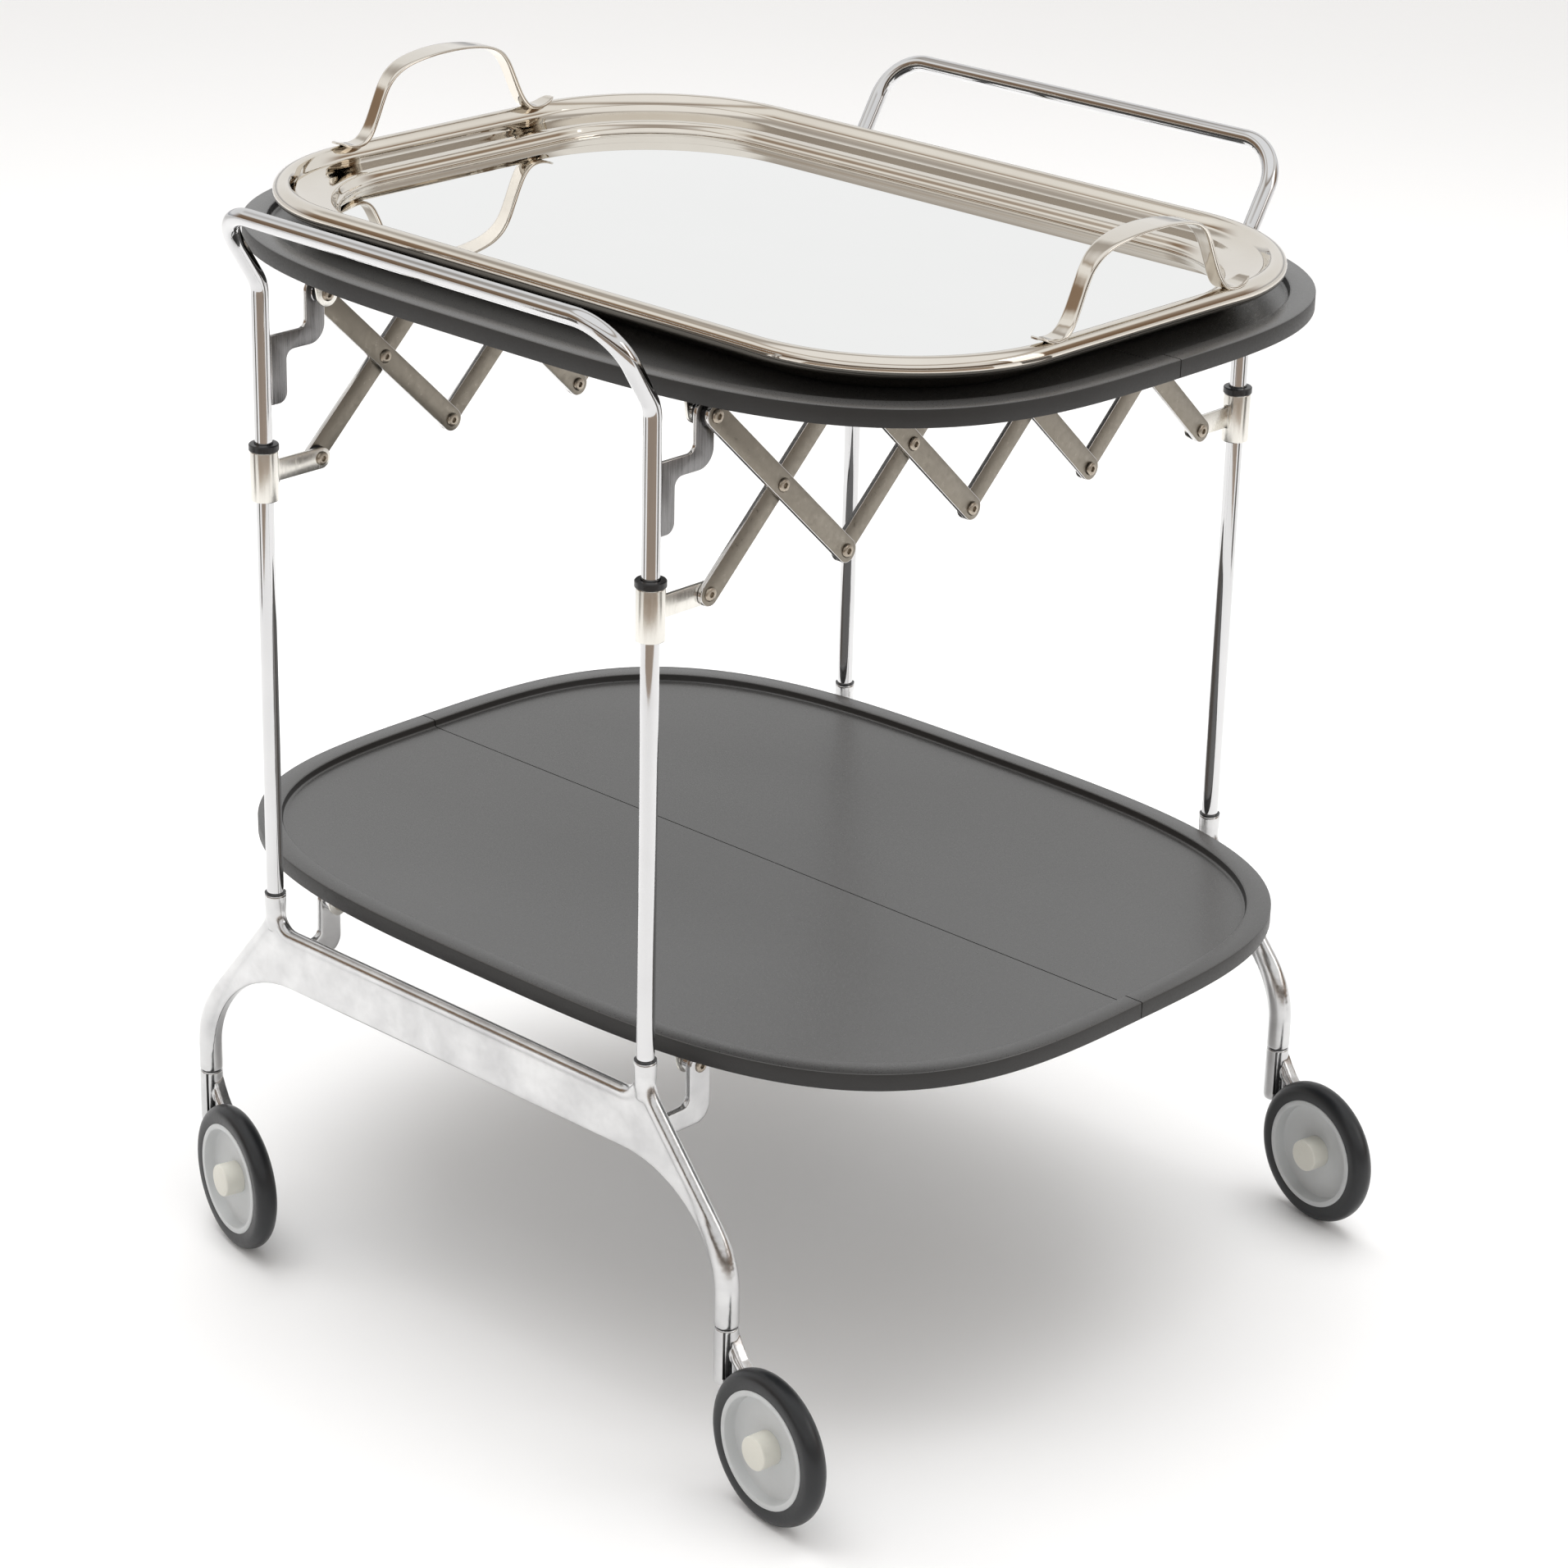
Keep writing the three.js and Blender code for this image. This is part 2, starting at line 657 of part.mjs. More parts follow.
function casterHousing() {
  const neck = rod(NECK_R, NECK_LOW_Z, CASTER_TOP_Z - FIT, "z", 14);
  const stem = rod(STEM_R, CASTER_TOP_Z - 1, STEM_TOP_Z, "z");
  const arm = new THREE.Shape();
  arm.moveTo(-5, 99);
  arm.lineTo(6, 98);
  arm.quadraticCurveTo(14, 88, 26, 76);
  arm.quadraticCurveTo(40, 65, TRAIL + 9.5 * Math.cos(1.14), WHEEL_R + 9.5 * Math.sin(1.14));
  arm.absarc(TRAIL, WHEEL_R, 9.5, 1.14, -2.3, true);
  arm.quadraticCurveTo(18, 48, -5, NECK_LOW_Z + 1);
  arm.closePath();
  const plate = plateXZ(arm, ARM);
  const clear = rod(WHEEL_R + 1.6, -30, ARM[0] - 0.4, "y", 24).translate([TRAIL, 0, WHEEL_R]);
  const axle = rod(AXLE_R, -19, ARM[1] - 1, "y", 10).translate([TRAIL, 0, WHEEL_R]);
  return neck.add(stem).add(plate).subtract(clear).add(axle);
}

function wheelHub() {
  const front = WHEEL_Y - TYRE_W / 2 + 0.3;
  const back = WHEEL_Y + TYRE_W / 2 - 0.3;
  const bore = AXLE_R + FIT;
  const profile = [
    [bore, back], [RIM_R, back], [RIM_R, front],
    [RIM_R - 3.2, front], [RIM_R - 3.2, -9.5], [bore, -9.5],
  ];
  return turned(profile, "y", 24).translate([TRAIL, 0, WHEEL_R]);
}

function tyre() {
  const bead = RIM_R + FIT;
  const profile = [[bead, WHEEL_Y + TYRE_W / 2 - 0.4]];
  for (let step = 0; step <= 5; step += 1) {
    const angle = Math.PI / 2 - (Math.PI * step) / 5;
    const r = WHEEL_R - 6.8 + 6.8 * Math.cos(angle);
    profile.push([r, WHEEL_Y + (TYRE_W / 2) * Math.sin(angle)]);
  }
  profile.push([bead, WHEEL_Y - TYRE_W / 2 + 0.4]);
  return turned(profile, "y", 24).translate([TRAIL, 0, WHEEL_R]);
}

function hubCap() {
  const face = -22.6;
  const base = -9.5 - FIT;
  const profile = [
    [0, face], [CAP_R - 0.8, face], [CAP_R, face + 0.8], [CAP_R, base],
    [AXLE_R + 0.8, base], [AXLE_R + 0.8, -19.6], [0, -19.6],
  ];
  return turned(profile, "y", 16).translate([TRAIL, 0, WHEEL_R]);
}

// ---- tray ----

// A rounded rectangle of points at height z, moved in from the tray's outline by inset. Its corners
// tighten more slowly than the inset grows, so the wall is broader round the corners.
function trayLoop(inset, z) {
  const steps = 6;
  const radius = TRAY_CORNER_R - TRAY_CORNER_EASE * inset;
  const points = [];
  for (let corner = 0; corner < 4; corner += 1) {
    const cx = (corner === 0 || corner === 3 ? 1 : -1) * (TRAY_HALF_X - inset - radius);
    const cy = (corner < 2 ? 1 : -1) * (TRAY_HALF_Y - inset - radius);
    for (let step = 0; step <= steps; step += 1) {
      const angle = (Math.PI / 2) * (corner + step / steps);
      points.push([cx + radius * Math.cos(angle), cy + radius * Math.sin(angle), z]);
    }
  }
  return points;
}

// A closed solid through a stack of loops, closed at both ends by flat fans.
function loft(loops) {
  const count = loops[0].length;
  const last = loops.length - 1;
  const positions = loops.flat(2);
  positions.push(0, 0, loops[0][0][2], 0, 0, loops[last][0][2]);
  const firstCentre = loops.length * count;
  const index = [];
  for (let i = 0; i < count; i += 1) {
    const next = (i + 1) % count;
    for (let row = 0; row < last; row += 1) {
      const a = row * count + i;
      const b = row * count + next;
      index.push(a, b, a + count, b, b + count, a + count);
    }
    index.push(firstCentre, next, i);
    index.push(firstCentre + 1, last * count + i, last * count + next);
  }
  const geometry = new THREE.BufferGeometry();
  geometry.setAttribute("position", new THREE.Float32BufferAttribute(positions, 3));
  geometry.setIndex(index);
  return solid(geometry);
}

function trayBody() {
  const profile = [[38, 662.4], [36.5, TRAY_BASE_Z], [31, TRAY_BASE_Z + 0.3], [26, 664.4], [20, 668.8], [15, 673]];
  for (let step = 0; step <= 6; step += 1) {
    const angle = THREE.MathUtils.degToRad(-50 - 39 * step);
    const inset = TRAY_ROLL_R + TRAY_ROLL_R * Math.cos(angle);
    profile.push([inset, TRAY_ROLL_Z + TRAY_ROLL_R * Math.sin(angle)]);
  }
  profile.push([13, 679.6], [20, 676.4], [33.6, 674.8], [35.2, 673.9]);
  profile.push([37, 670.6], [38.6, 669.1], [38.6, MIRROR[0] - FIT]);
  return loft(profile.map(([inset, z]) => trayLoop(inset, z)));
}

const trayMirror = () => loft([trayLoop(MIRROR_INSET, MIRROR[0]), trayLoop(MIRROR_INSET, MIRROR[1])]);

// An arched strip across one end of the tray, standing on curled feet on the rolled rim.
function trayHandle(side) {
  const rise = [[97, 3], [88, 0], [77, 0.5], [69, 6], [62, 18], [55, 33], [45, 43], [28, 48.5], [0, 51]];
  const footZ = TRAY_ROLL_Z + TRAY_ROLL_R + FIT + HANDLE_T / 2;
  const half = rise.map(([y, z]) => new THREE.Vector3(0, y, footZ + z));
  const rest = rise.slice(0, -1).reverse().map(([y, z]) => new THREE.Vector3(0, -y, footZ + z));
  const route = new THREE.CatmullRomCurve3([...half, ...rest], false, "centripetal");
  return solid(stripGeometry(route, HANDLE_T, HANDLE_W)).translate([side * TRAY_HANDLE_X, 0, 0]);
}

// A flat strip of even thickness along a curve that stays in a plane of constant x.
function stripGeometry(route, thickness, width) {
  const count = 30;
  const positions = [];
  const index = [];
  for (let i = 0; i <= count; i += 1) {
    const point = route.getPointAt(i / count);
    const along = route.getTangentAt(i / count);
    const normal = new THREE.Vector3(0, -along.z, along.y).multiplyScalar(thickness / 2);
    for (const [dx, dn] of [[-1, -1], [1, -1], [1, 1], [-1, 1]]) {
      positions.push(dx * (width / 2), point.y + dn * normal.y, point.z + dn * normal.z);
    }
  }
  for (let i = 0; i < count; i += 1) {
    for (let edge = 0; edge < 4; edge += 1) {
      const a = i * 4 + edge;
      const b = i * 4 + ((edge + 1) % 4);
      index.push(a, a + 4, b, b, a + 4, b + 4);
    }
  }
  index.push(0, 1, 2, 0, 2, 3);
  const end = count * 4;
  index.push(end, end + 2, end + 1, end, end + 3, end + 2);
  const geometry = new THREE.BufferGeometry();
  geometry.setAttribute("position", new THREE.Float32BufferAttribute(positions, 3));
  geometry.setIndex(index);
  return geometry;
}

// ---- assembly ----

// Everything that an end of the cart carries, built at the front. The rear end is then turned, so
// the side that is built at -X becomes its right-hand one.
function cartEnd(name) {
  const [minusHand, plusHand] = name === "front" ? ["left", "right"] : ["right", "left"];
  const end = new THREE.Group();
  end.add(
    piece(`${name}_frame_tube`, CHROME(), frameTube()),
    piece(`${name}_yoke`, CAST(), yoke()),
  );
  for (const [side, hand] of [[-1, minusHand], [1, plusHand]]) {
    end.add(
      piece(`${name}_${hand}_upper_bracket`, STEEL(), upperBracket(side)),
      piece(`${name}_${hand}_slider_sleeve`, STEEL(), sliderSleeve(side)),
      piece(`${name}_${hand}_slider_bushing`, BLACK(), sliderBushing(side)),
    );
    for (const bar of Object.keys(BARS)) {
      end.add(piece(`${name}_${hand}_bar_${bar}`, NICKEL(), chainBar(side, bar)));
    }
  }
  return end;
}

const halfTurn = (group) => {
  group.rotation.z = Math.PI;
  return group;
};

function shelf(name, pivotZ) {
  const whole = new THREE.Group();
  const front = halfShelf(pivotZ).add(shelfLugs(pivotZ, FRONT_KNUCKLES));
  const rear = halfShelf(pivotZ).add(shelfLugs(pivotZ, REAR_KNUCKLES));
  const rearHalf = new THREE.Group();
  rearHalf.add(piece(`${name}_shelf_rear`, SHELF(), rear));
  whole.add(
    piece(`${name}_shelf_front`, SHELF(), front),
    halfTurn(rearHalf),
    piece(`${name}_seam_pin_left`, STEEL(), seamPin(-1, pivotZ)),
    piece(`${name}_seam_pin_right`, STEEL(), seamPin(1, pivotZ)),
  );
  return whole;
}

function caster(name, x, y, yawDegrees) {
  const group = new THREE.Group();
  group.add(
    piece(`${name}_caster_housing`, CAST(), casterHousing()),
    piece(`${name}_wheel_hub`, RIM_GREY(), wheelHub()),
    piece(`${name}_wheel_tyre`, TYRE(), tyre()),
    piece(`${name}_wheel_cap`, CAP_GREY(), hubCap()),
  );
  group.position.set(x, y, 0);
  group.rotation.z = THREE.MathUtils.degToRad(yawDegrees);
  return group;
}

const cart = new THREE.Group();
cart.add(
  cartEnd("front"),
  halfTurn(cartEnd("rear")),
  shelf("upper", UPPER_PIVOT_Z),
  shelf("lower", LOWER_PIVOT_Z),
  caster("front_left", -CASTER_X, -FRAME_Y, -13.5),
  caster("front_right", CASTER_X, -FRAME_Y, -7.7),
  caster("rear_left", -CASTER_X, FRAME_Y, -12),
  caster("rear_right", CASTER_X, FRAME_Y, -10),
  piece("tray_body", SILVER(), trayBody()),
  piece("tray_mirror", MIRROR_GLASS(), trayMirror()),
  piece("tray_handle_left", SILVER(), trayHandle(-1)),
  piece("tray_handle_right", SILVER(), trayHandle(1)),
);
cart.position.set(CART_SHIFT_X, CART_SHIFT_Y, 0);

export default cart;
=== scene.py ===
import json
import math

import bpy
from mathutils import Matrix, Vector

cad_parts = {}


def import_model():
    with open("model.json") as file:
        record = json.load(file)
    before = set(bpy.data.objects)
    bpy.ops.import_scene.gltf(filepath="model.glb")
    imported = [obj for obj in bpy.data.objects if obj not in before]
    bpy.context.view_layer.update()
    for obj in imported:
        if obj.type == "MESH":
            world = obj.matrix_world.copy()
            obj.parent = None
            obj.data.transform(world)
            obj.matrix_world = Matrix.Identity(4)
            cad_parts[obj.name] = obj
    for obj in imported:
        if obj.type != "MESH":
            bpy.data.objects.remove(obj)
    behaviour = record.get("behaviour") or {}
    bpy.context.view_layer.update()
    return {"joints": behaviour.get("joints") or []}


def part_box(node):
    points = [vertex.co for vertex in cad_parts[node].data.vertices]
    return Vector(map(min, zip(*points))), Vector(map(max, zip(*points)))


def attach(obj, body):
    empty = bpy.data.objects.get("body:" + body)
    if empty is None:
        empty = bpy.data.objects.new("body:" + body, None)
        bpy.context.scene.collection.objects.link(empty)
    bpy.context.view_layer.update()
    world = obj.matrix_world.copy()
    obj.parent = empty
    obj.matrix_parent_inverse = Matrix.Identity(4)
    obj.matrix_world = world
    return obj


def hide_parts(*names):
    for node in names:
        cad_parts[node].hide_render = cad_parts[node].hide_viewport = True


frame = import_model()
joints = {joint["name"]: joint for joint in frame["joints"]}

MM = 0.001
HALF_TURN = Matrix.Rotation(math.pi, 4, "Z")

# SHIFT is where the cart's own middle is in the shared frame, in millimetres.
SHELF_BOX = [[value / MM for value in corner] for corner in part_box("upper_shelf_front")]
SHELF_A = (SHELF_BOX[1][0] - SHELF_BOX[0][0]) / 2
FRAMES_LOW_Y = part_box("front_frame_tube")[0][1]
FRAMES_HIGH_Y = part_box("rear_frame_tube")[1][1]
SHIFT = (SHELF_BOX[1][0] - SHELF_A, (FRAMES_LOW_Y + FRAMES_HIGH_Y) / 2 / MM, 0)


def low_mm(node, axis):
    """The low side of a CAD node's box along an axis, in millimetres from the cart's own middle."""
    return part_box(node)[0][axis] / MM - SHIFT[axis]


def high_mm(node, axis):
    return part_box(node)[1][axis] / MM - SHIFT[axis]


def mid(node, axis):
    return (low_mm(node, axis) + high_mm(node, axis)) / 2


def pivot_mm(joint):
    return [value / MM - shift for value, shift in zip(joints[joint]["pos_m"], SHIFT)]


# The radius of the frames' tubes.
TUBE_R = 5.5

# Where the CAD puts things, in millimetres from the cart's own middle.
LEG_X = mid("front_right_slider_bushing", 0)
FRAME_Y = -mid("front_right_slider_bushing", 1)
HANDLE_Y = -low_mm("front_frame_tube", 1) - TUBE_R
HANDLE_Z = high_mm("front_frame_tube", 2) - TUBE_R
PIVOT_Y = -pivot_mm("fold")[1]
UPPER_Z = pivot_mm("fold")[2]
LOWER_Z = pivot_mm("lower_shelf_front_pivot")[2]
SLIDER_Z = pivot_mm("front_slider_pivot")[2]
CELL = PIVOT_Y / 2
SHELF_B = -low_mm("upper_shelf_front", 1)

# The outline of a shelf is a superellipse of this power, drawn with this many steps to a half.
SHELF_POWER = 3.3
SHELF_STEPS = 150

# The flat parts lie in layers across the cart, each given as its near and far x.
EAR = (157.2, 159.4)
BRACKET = (165.9, 168.4)
HOOK = (165.9, 170.4)
INNER = (168.7, 171.7)
OUTER = (172.0, 175.0)

# Sizes of the frames' details, in millimetres.
SOCKET_TOP = 253.3
CASTER_X = 238.5
WEB_HALF = 3.5
BEAD_Z = 226.4
BAR_WIDTH = 15
SHANK_R = 2.4
SLEEVE_LOW, SLEEVE_HIGH = 519, 551
SLEEVE_R = 8.8
TAB_R = 6.8


# ---- materials ----

def colour_ramp(tree, source, stops):
    """source, turned into colours by stops of (position, colour)."""
    made = tree.nodes.new("ShaderNodeValToRGB")
    elements = made.color_ramp.elements
    while len(elements) < len(stops):
        elements.new(0.5)
    for element, (position, colour) in zip(elements, stops):
        element.position = position
        element.color = (*colour, 1)
    tree.links.new(source, made.inputs["Fac"])
    return made.outputs["Color"]


class Nodes:
    """A node material under construction, on a Principled shader."""

    def __init__(self, name, **values):
        self.material = bpy.data.materials.new(name)
        self.material.use_nodes = True
        self.tree = self.material.node_tree
        self.shader = self.tree.nodes["Principled BSDF"]
        for socket, value in values.items():
            self.shader.inputs[socket.replace("_", " ")].default_value = value
        self.coord = self.tree.nodes.new("ShaderNodeTexCoord").outputs["Object"]
        self.height = None

    def node(self, kind, **inputs):
        made = self.tree.nodes.new(kind)
        for name, value in inputs.items():
            made.inputs[name.replace("_", " ")].default_value = value
        return made

    def noise(self, scale, stretch=(1, 1, 1), detail=4.0, roughness=0.6):
        mapping = self.node("ShaderNodeMapping")
        mapping.inputs["Scale"].default_value = stretch
        self.tree.links.new(self.coord, mapping.inputs["Vector"])
        noise = self.node("ShaderNodeTexNoise", Scale=scale, Detail=detail, Roughness=roughness)
        self.tree.links.new(mapping.outputs[0], noise.inputs["Vector"])
        return noise.outputs["Fac"]

    def spread(self, source, low, high):
        """The middle of a noise, remapped to run from low to high."""
        made = self.node("ShaderNodeMapRange")
        made.inputs["From Min"].default_value = 0.3
        made.inputs["From Max"].default_value = 0.7
        made.inputs["To Min"].default_value = low
        made.inputs["To Max"].default_value = high
        self.tree.links.new(source, made.inputs["Value"])
        return made.outputs["Result"]

    def drive(self, socket, source):
        self.tree.links.new(source, self.shader.inputs[socket])

    def bump(self, source, strength, distance):
        made = self.node("ShaderNodeBump", Strength=strength, Distance=distance)
        self.tree.links.new(source, made.inputs["Height"])
        if self.height is not None:
            self.tree.links.new(self.height, made.inputs["Normal"])
        self.height = made.outputs["Normal"]
        self.tree.links.new(self.height, self.shader.inputs["Normal"])


def metal(name, light, dark, rough, scratch, stretch=(1, 1, 1), bump=0.05, cloud=9.0, brushed=False):
    """Polished or brushed metal: clouded colour, uneven gloss and fine scratches along stretch."""
    made = Nodes(name, Metallic=1.0, Roughness=rough)
    lines = made.noise(scratch, stretch, detail=6, roughness=0.75)
    clouds = lines if brushed else made.noise(cloud, detail=5)
    made.drive("Base Color", colour_ramp(made.tree, clouds, [(0.3, dark), (0.7, light)]))
    made.drive("Roughness", made.spread(lines, rough * 0.7, rough * 1.5))
    made.bump(lines, bump, 0.0003)
    return made.material


def plastic(name, light, dark, rough, grain, bump, cloud=6.0, specular=0.5):
    """Plastic or rubber: clouded colour, and a fine grain in its gloss and its surface."""
    made = Nodes(name, Roughness=rough)
    made.shader.inputs["Specular IOR Level"].default_value = specular
    clouds = made.noise(cloud, detail=6)
    made.drive("Base Color", colour_ramp(made.tree, clouds, [(0.25, dark), (0.75, light)]))
    grains = made.noise(grain, detail=3, roughness=0.5)
    made.drive("Roughness", made.spread(grains, rough * 0.88, rough * 1.12))
    made.bump(grains, bump, 0.0002)
    return made.material


CHROME = metal("chrome_tube", (0.67, 0.67, 0.675), (0.60, 0.60, 0.605),
               rough=0.045, scratch=260, stretch=(1, 1, 0.06), bump=0.015)
CAST = metal("polished_cast_aluminium", (0.72, 0.72, 0.72), (0.53, 0.53, 0.535),
             rough=0.18, scratch=260, stretch=(0.18, 1, 1), bump=0.3, cloud=34)
BRUSHED = metal("brushed_steel", (0.33, 0.325, 0.325), (0.14, 0.138, 0.138),
                rough=0.30, scratch=1100, stretch=(1, 1, 0.03), bump=0.3, brushed=True)
# Painted highlight: a lighter, glossier copy of the metal for the thin edges of the strips and brackets.
EDGE_HIGHLIGHT = metal("edge_painted_highlight", (0.78, 0.77, 0.76), (0.60, 0.59, 0.58),
             rough=0.14, scratch=900, bump=0.08, cloud=40)
SATIN = metal("satin_nickel", (0.80, 0.78, 0.73), (0.68, 0.66, 0.61),
              rough=0.20, scratch=500, stretch=(1, 1, 0.08), bump=0.1, cloud=16)
BAR_METAL = metal("bar_nickel", (0.262, 0.236, 0.196), (0.232, 0.208, 0.172),
                  rough=0.33, scratch=900, stretch=(1, 0.3, 0.3), bump=0.05, cloud=22)
HEAD_METAL = metal("button_head", (0.47, 0.415, 0.34), (0.39, 0.34, 0.28),
                   rough=0.30, scratch=500, bump=0.05, cloud=60)
SILVER = metal("tray_silver", (0.74, 0.70, 0.635), (0.68, 0.635, 0.57),
               rough=0.04, scratch=240, stretch=(0.2, 1, 1), bump=0.015, cloud=10)
MIRROR = metal("tray_mirror", (0.90, 0.905, 0.90), (0.88, 0.885, 0.88),
               rough=0.012, scratch=40, bump=0.0, cloud=3)
DARK_STEEL = metal("dark_steel", (0.10, 0.10, 0.10), (0.06, 0.06, 0.06),
                   rough=0.35, scratch=300, bump=0.1, cloud=40)
SHELF = plastic("shelf_plastic", (0.056, 0.055, 0.054), (0.044, 0.0435, 0.0425),
                rough=0.30, grain=900, bump=0.2, cloud=5, specular=1.0)
# Painted shade: a darker, duller copy of the shelf plastic for the shelves' steep side faces.
SHELF_SIDE_SHADE = plastic("shelf_side_painted_shade", (0.034, 0.033, 0.032), (0.026, 0.0253, 0.0246),
                     rough=0.46, grain=700, bump=0.25, cloud=9, specular=0.35)
BLACK = plastic("black_bushing", (0.012, 0.012, 0.013), (0.008, 0.008, 0.009),
                rough=0.3, grain=700, bump=0.08, cloud=30)
TYRE = plastic("tyre_rubber", (0.013, 0.014, 0.016), (0.008, 0.009, 0.0105),
               rough=0.36, grain=420, bump=0.12, cloud=30)
HUB = plastic("hub_plastic", (0.60, 0.615, 0.62), (0.50, 0.515, 0.52),
              rough=0.42, grain=500, bump=0.08, cloud=12)
CAP = plastic("cap_plastic", (0.74, 0.73, 0.655), (0.67, 0.66, 0.60),
              rough=0.5, grain=500, bump=0.1, cloud=30)


# ---- meshes, as (vertices in millimetres, faces) ----

def lathe(profile, axis="z", at=(0, 0, 0), sides=48):
    """Turns a profile of (radius, height). It starts and ends on the axis, or closes on itself."""
    verts, rings = [], []
    for radius, height in profile:
        if radius < 1e-6:
            rings.append([len(verts)])
            verts.append((0, 0, height))
            continue
        rings.append(list(range(len(verts), len(verts) + sides)))
        for i in range(sides):
            angle = 2 * math.pi * i / sides
            verts.append((radius * math.cos(angle), radius * math.sin(angle), height))
    pairs = list(zip(rings, rings[1:]))
    if profile[0][0] > 1e-6:
        pairs.append((rings[-1], rings[0]))
    faces = []
    for a, b in pairs:
        for i in range(sides):
            j = (i + 1) % sides
            if len(a) == 1 and len(b) > 1:
                faces.append((a[0], b[i], b[j]))
            elif len(b) == 1 and len(a) > 1:
                faces.append((a[i], b[0], a[j]))
            elif len(a) > 1:
                faces.append((a[i], b[i], b[j], a[j]))
    turn = {
        "x": lambda p: (p[2], p[0], p[1]),
        "y": lambda p: (p[1], p[2], p[0]),
        "z": lambda p: p,
    }[axis]
    return [tuple(c + o for c, o in zip(turn(v), at)) for v in verts], faces


def sweep(path, section, normal):
    """Carries section(i), a list of (along normal, along binormal), along the path."""
    count = len(path)
    verts, faces = [], []
    side = Vector(normal).normalized()
    sides = len(section(0))
    for i, point in enumerate(path):
        before = path[max(i - 1, 0)]
        after = path[min(i + 1, count - 1)]
        tangent = (Vector(after) - Vector(before)).normalized()
        side = (side - tangent * side.dot(tangent)).normalized()
        other = tangent.cross(side)
        for u, v in section(i):
            verts.append(tuple(Vector(point) + side * u + other * v))
    for i in range(count - 1):
        for k in range(sides):
            a = i * sides + k
            b = i * sides + (k + 1) % sides
            faces.append((a, b, b + sides, a + sides))
    faces.append(tuple(reversed(range(sides))))
    faces.append(tuple(range((count - 1) * sides, count * sides)))
    return verts, faces


def ellipse(ru, rv, sides=24):
    step = 2 * math.pi / sides
    return [(ru * math.cos(step * i), rv * math.sin(step * i)) for i in range(sides)]


def bent(corners, radii, degrees=4):
    """A path of straight runs joined by round bends."""
    points = [Vector(corners[0])]
    for i in range(1, len(corners) - 1):
        here = Vector(corners[i])
        back = (Vector(corners[i - 1]) - here).normalized()
        ahead = (Vector(corners[i + 1]) - here).normalized()
        turn = math.pi - back.angle(ahead)
        reach = radii[i - 1] * math.tan(turn / 2)
        centre = here + (back + ahead).normalized() * math.hypot(reach, radii[i - 1])
        arm = here + back * reach - centre
        axis = ahead.cross(back).normalized()
        steps = max(3, math.ceil(math.degrees(turn) / degrees))
        for step in range(steps + 1):
            points.append(centre + Matrix.Rotation(turn * step / steps, 3, axis) @ arm)
    points.append(Vector(corners[-1]))
    return points


def fine(path, step):
    """The path with its long straight runs divided."""
    points = [path[0]]
    for a, b in zip(path, path[1:]):
        count = max(1, round((b - a).length / step))
        points.extend(a.lerp(b, k / count) for k in range(1, count + 1))
    return points


def arc(cy, cz, radius, start, end, steps=10):
    """Points on an arc, from start to end degrees."""
    angles = [math.radians(start + (end - start) * k / steps) for k in range(steps + 1)]
    return [(cy + radius * math.cos(a), cz + radius * math.sin(a)) for a in angles]


def clean(outline):
    """The outline without points that repeat the one before."""
    kept = []
    for point in outline:
        if not kept or math.dist(point, kept[-1]) > 0.02:
            kept.append(point)
    if math.dist(kept[0], kept[-1]) < 0.02:
        kept.pop()
    return kept


def plate(outline, low, high, axis="x"):
    """A flat plate. For axis x the outline is (y, z); for y it is (x, z); for z it is (x, y)."""
    outline = clean(outline)
    spot = {
        "x": lambda p, h: (h, p[0], p[1]),
        "y": lambda p, h: (p[0], h, p[1]),
        "z": lambda p, h: (p[0], p[1], h),
    }[axis]
    count = len(outline)
    verts = [spot(p, low) for p in outline] + [spot(p, high) for p in outline]
    faces = [tuple(range(count)), tuple(reversed(range(count, 2 * count)))]
    faces += [(i, (i + 1) % count, (i + 1) % count + count, i + count) for i in range(count)]
    return verts, faces


def rectangle(x0, x1, y0, y1):
    return [(x0, y0), (x1, y0), (x1, y1), (x0, y1)]


def moved(part, offset):
    verts, faces = part
    return [tuple(c + o for c, o in zip(v, offset)) for v in verts], faces


def layer(side, low, high):
    """The x range of a layer on one side of the cart: side is 1 or -1."""
    return (low, high) if side > 0 else (-high, -low)


# ---- pieces ----

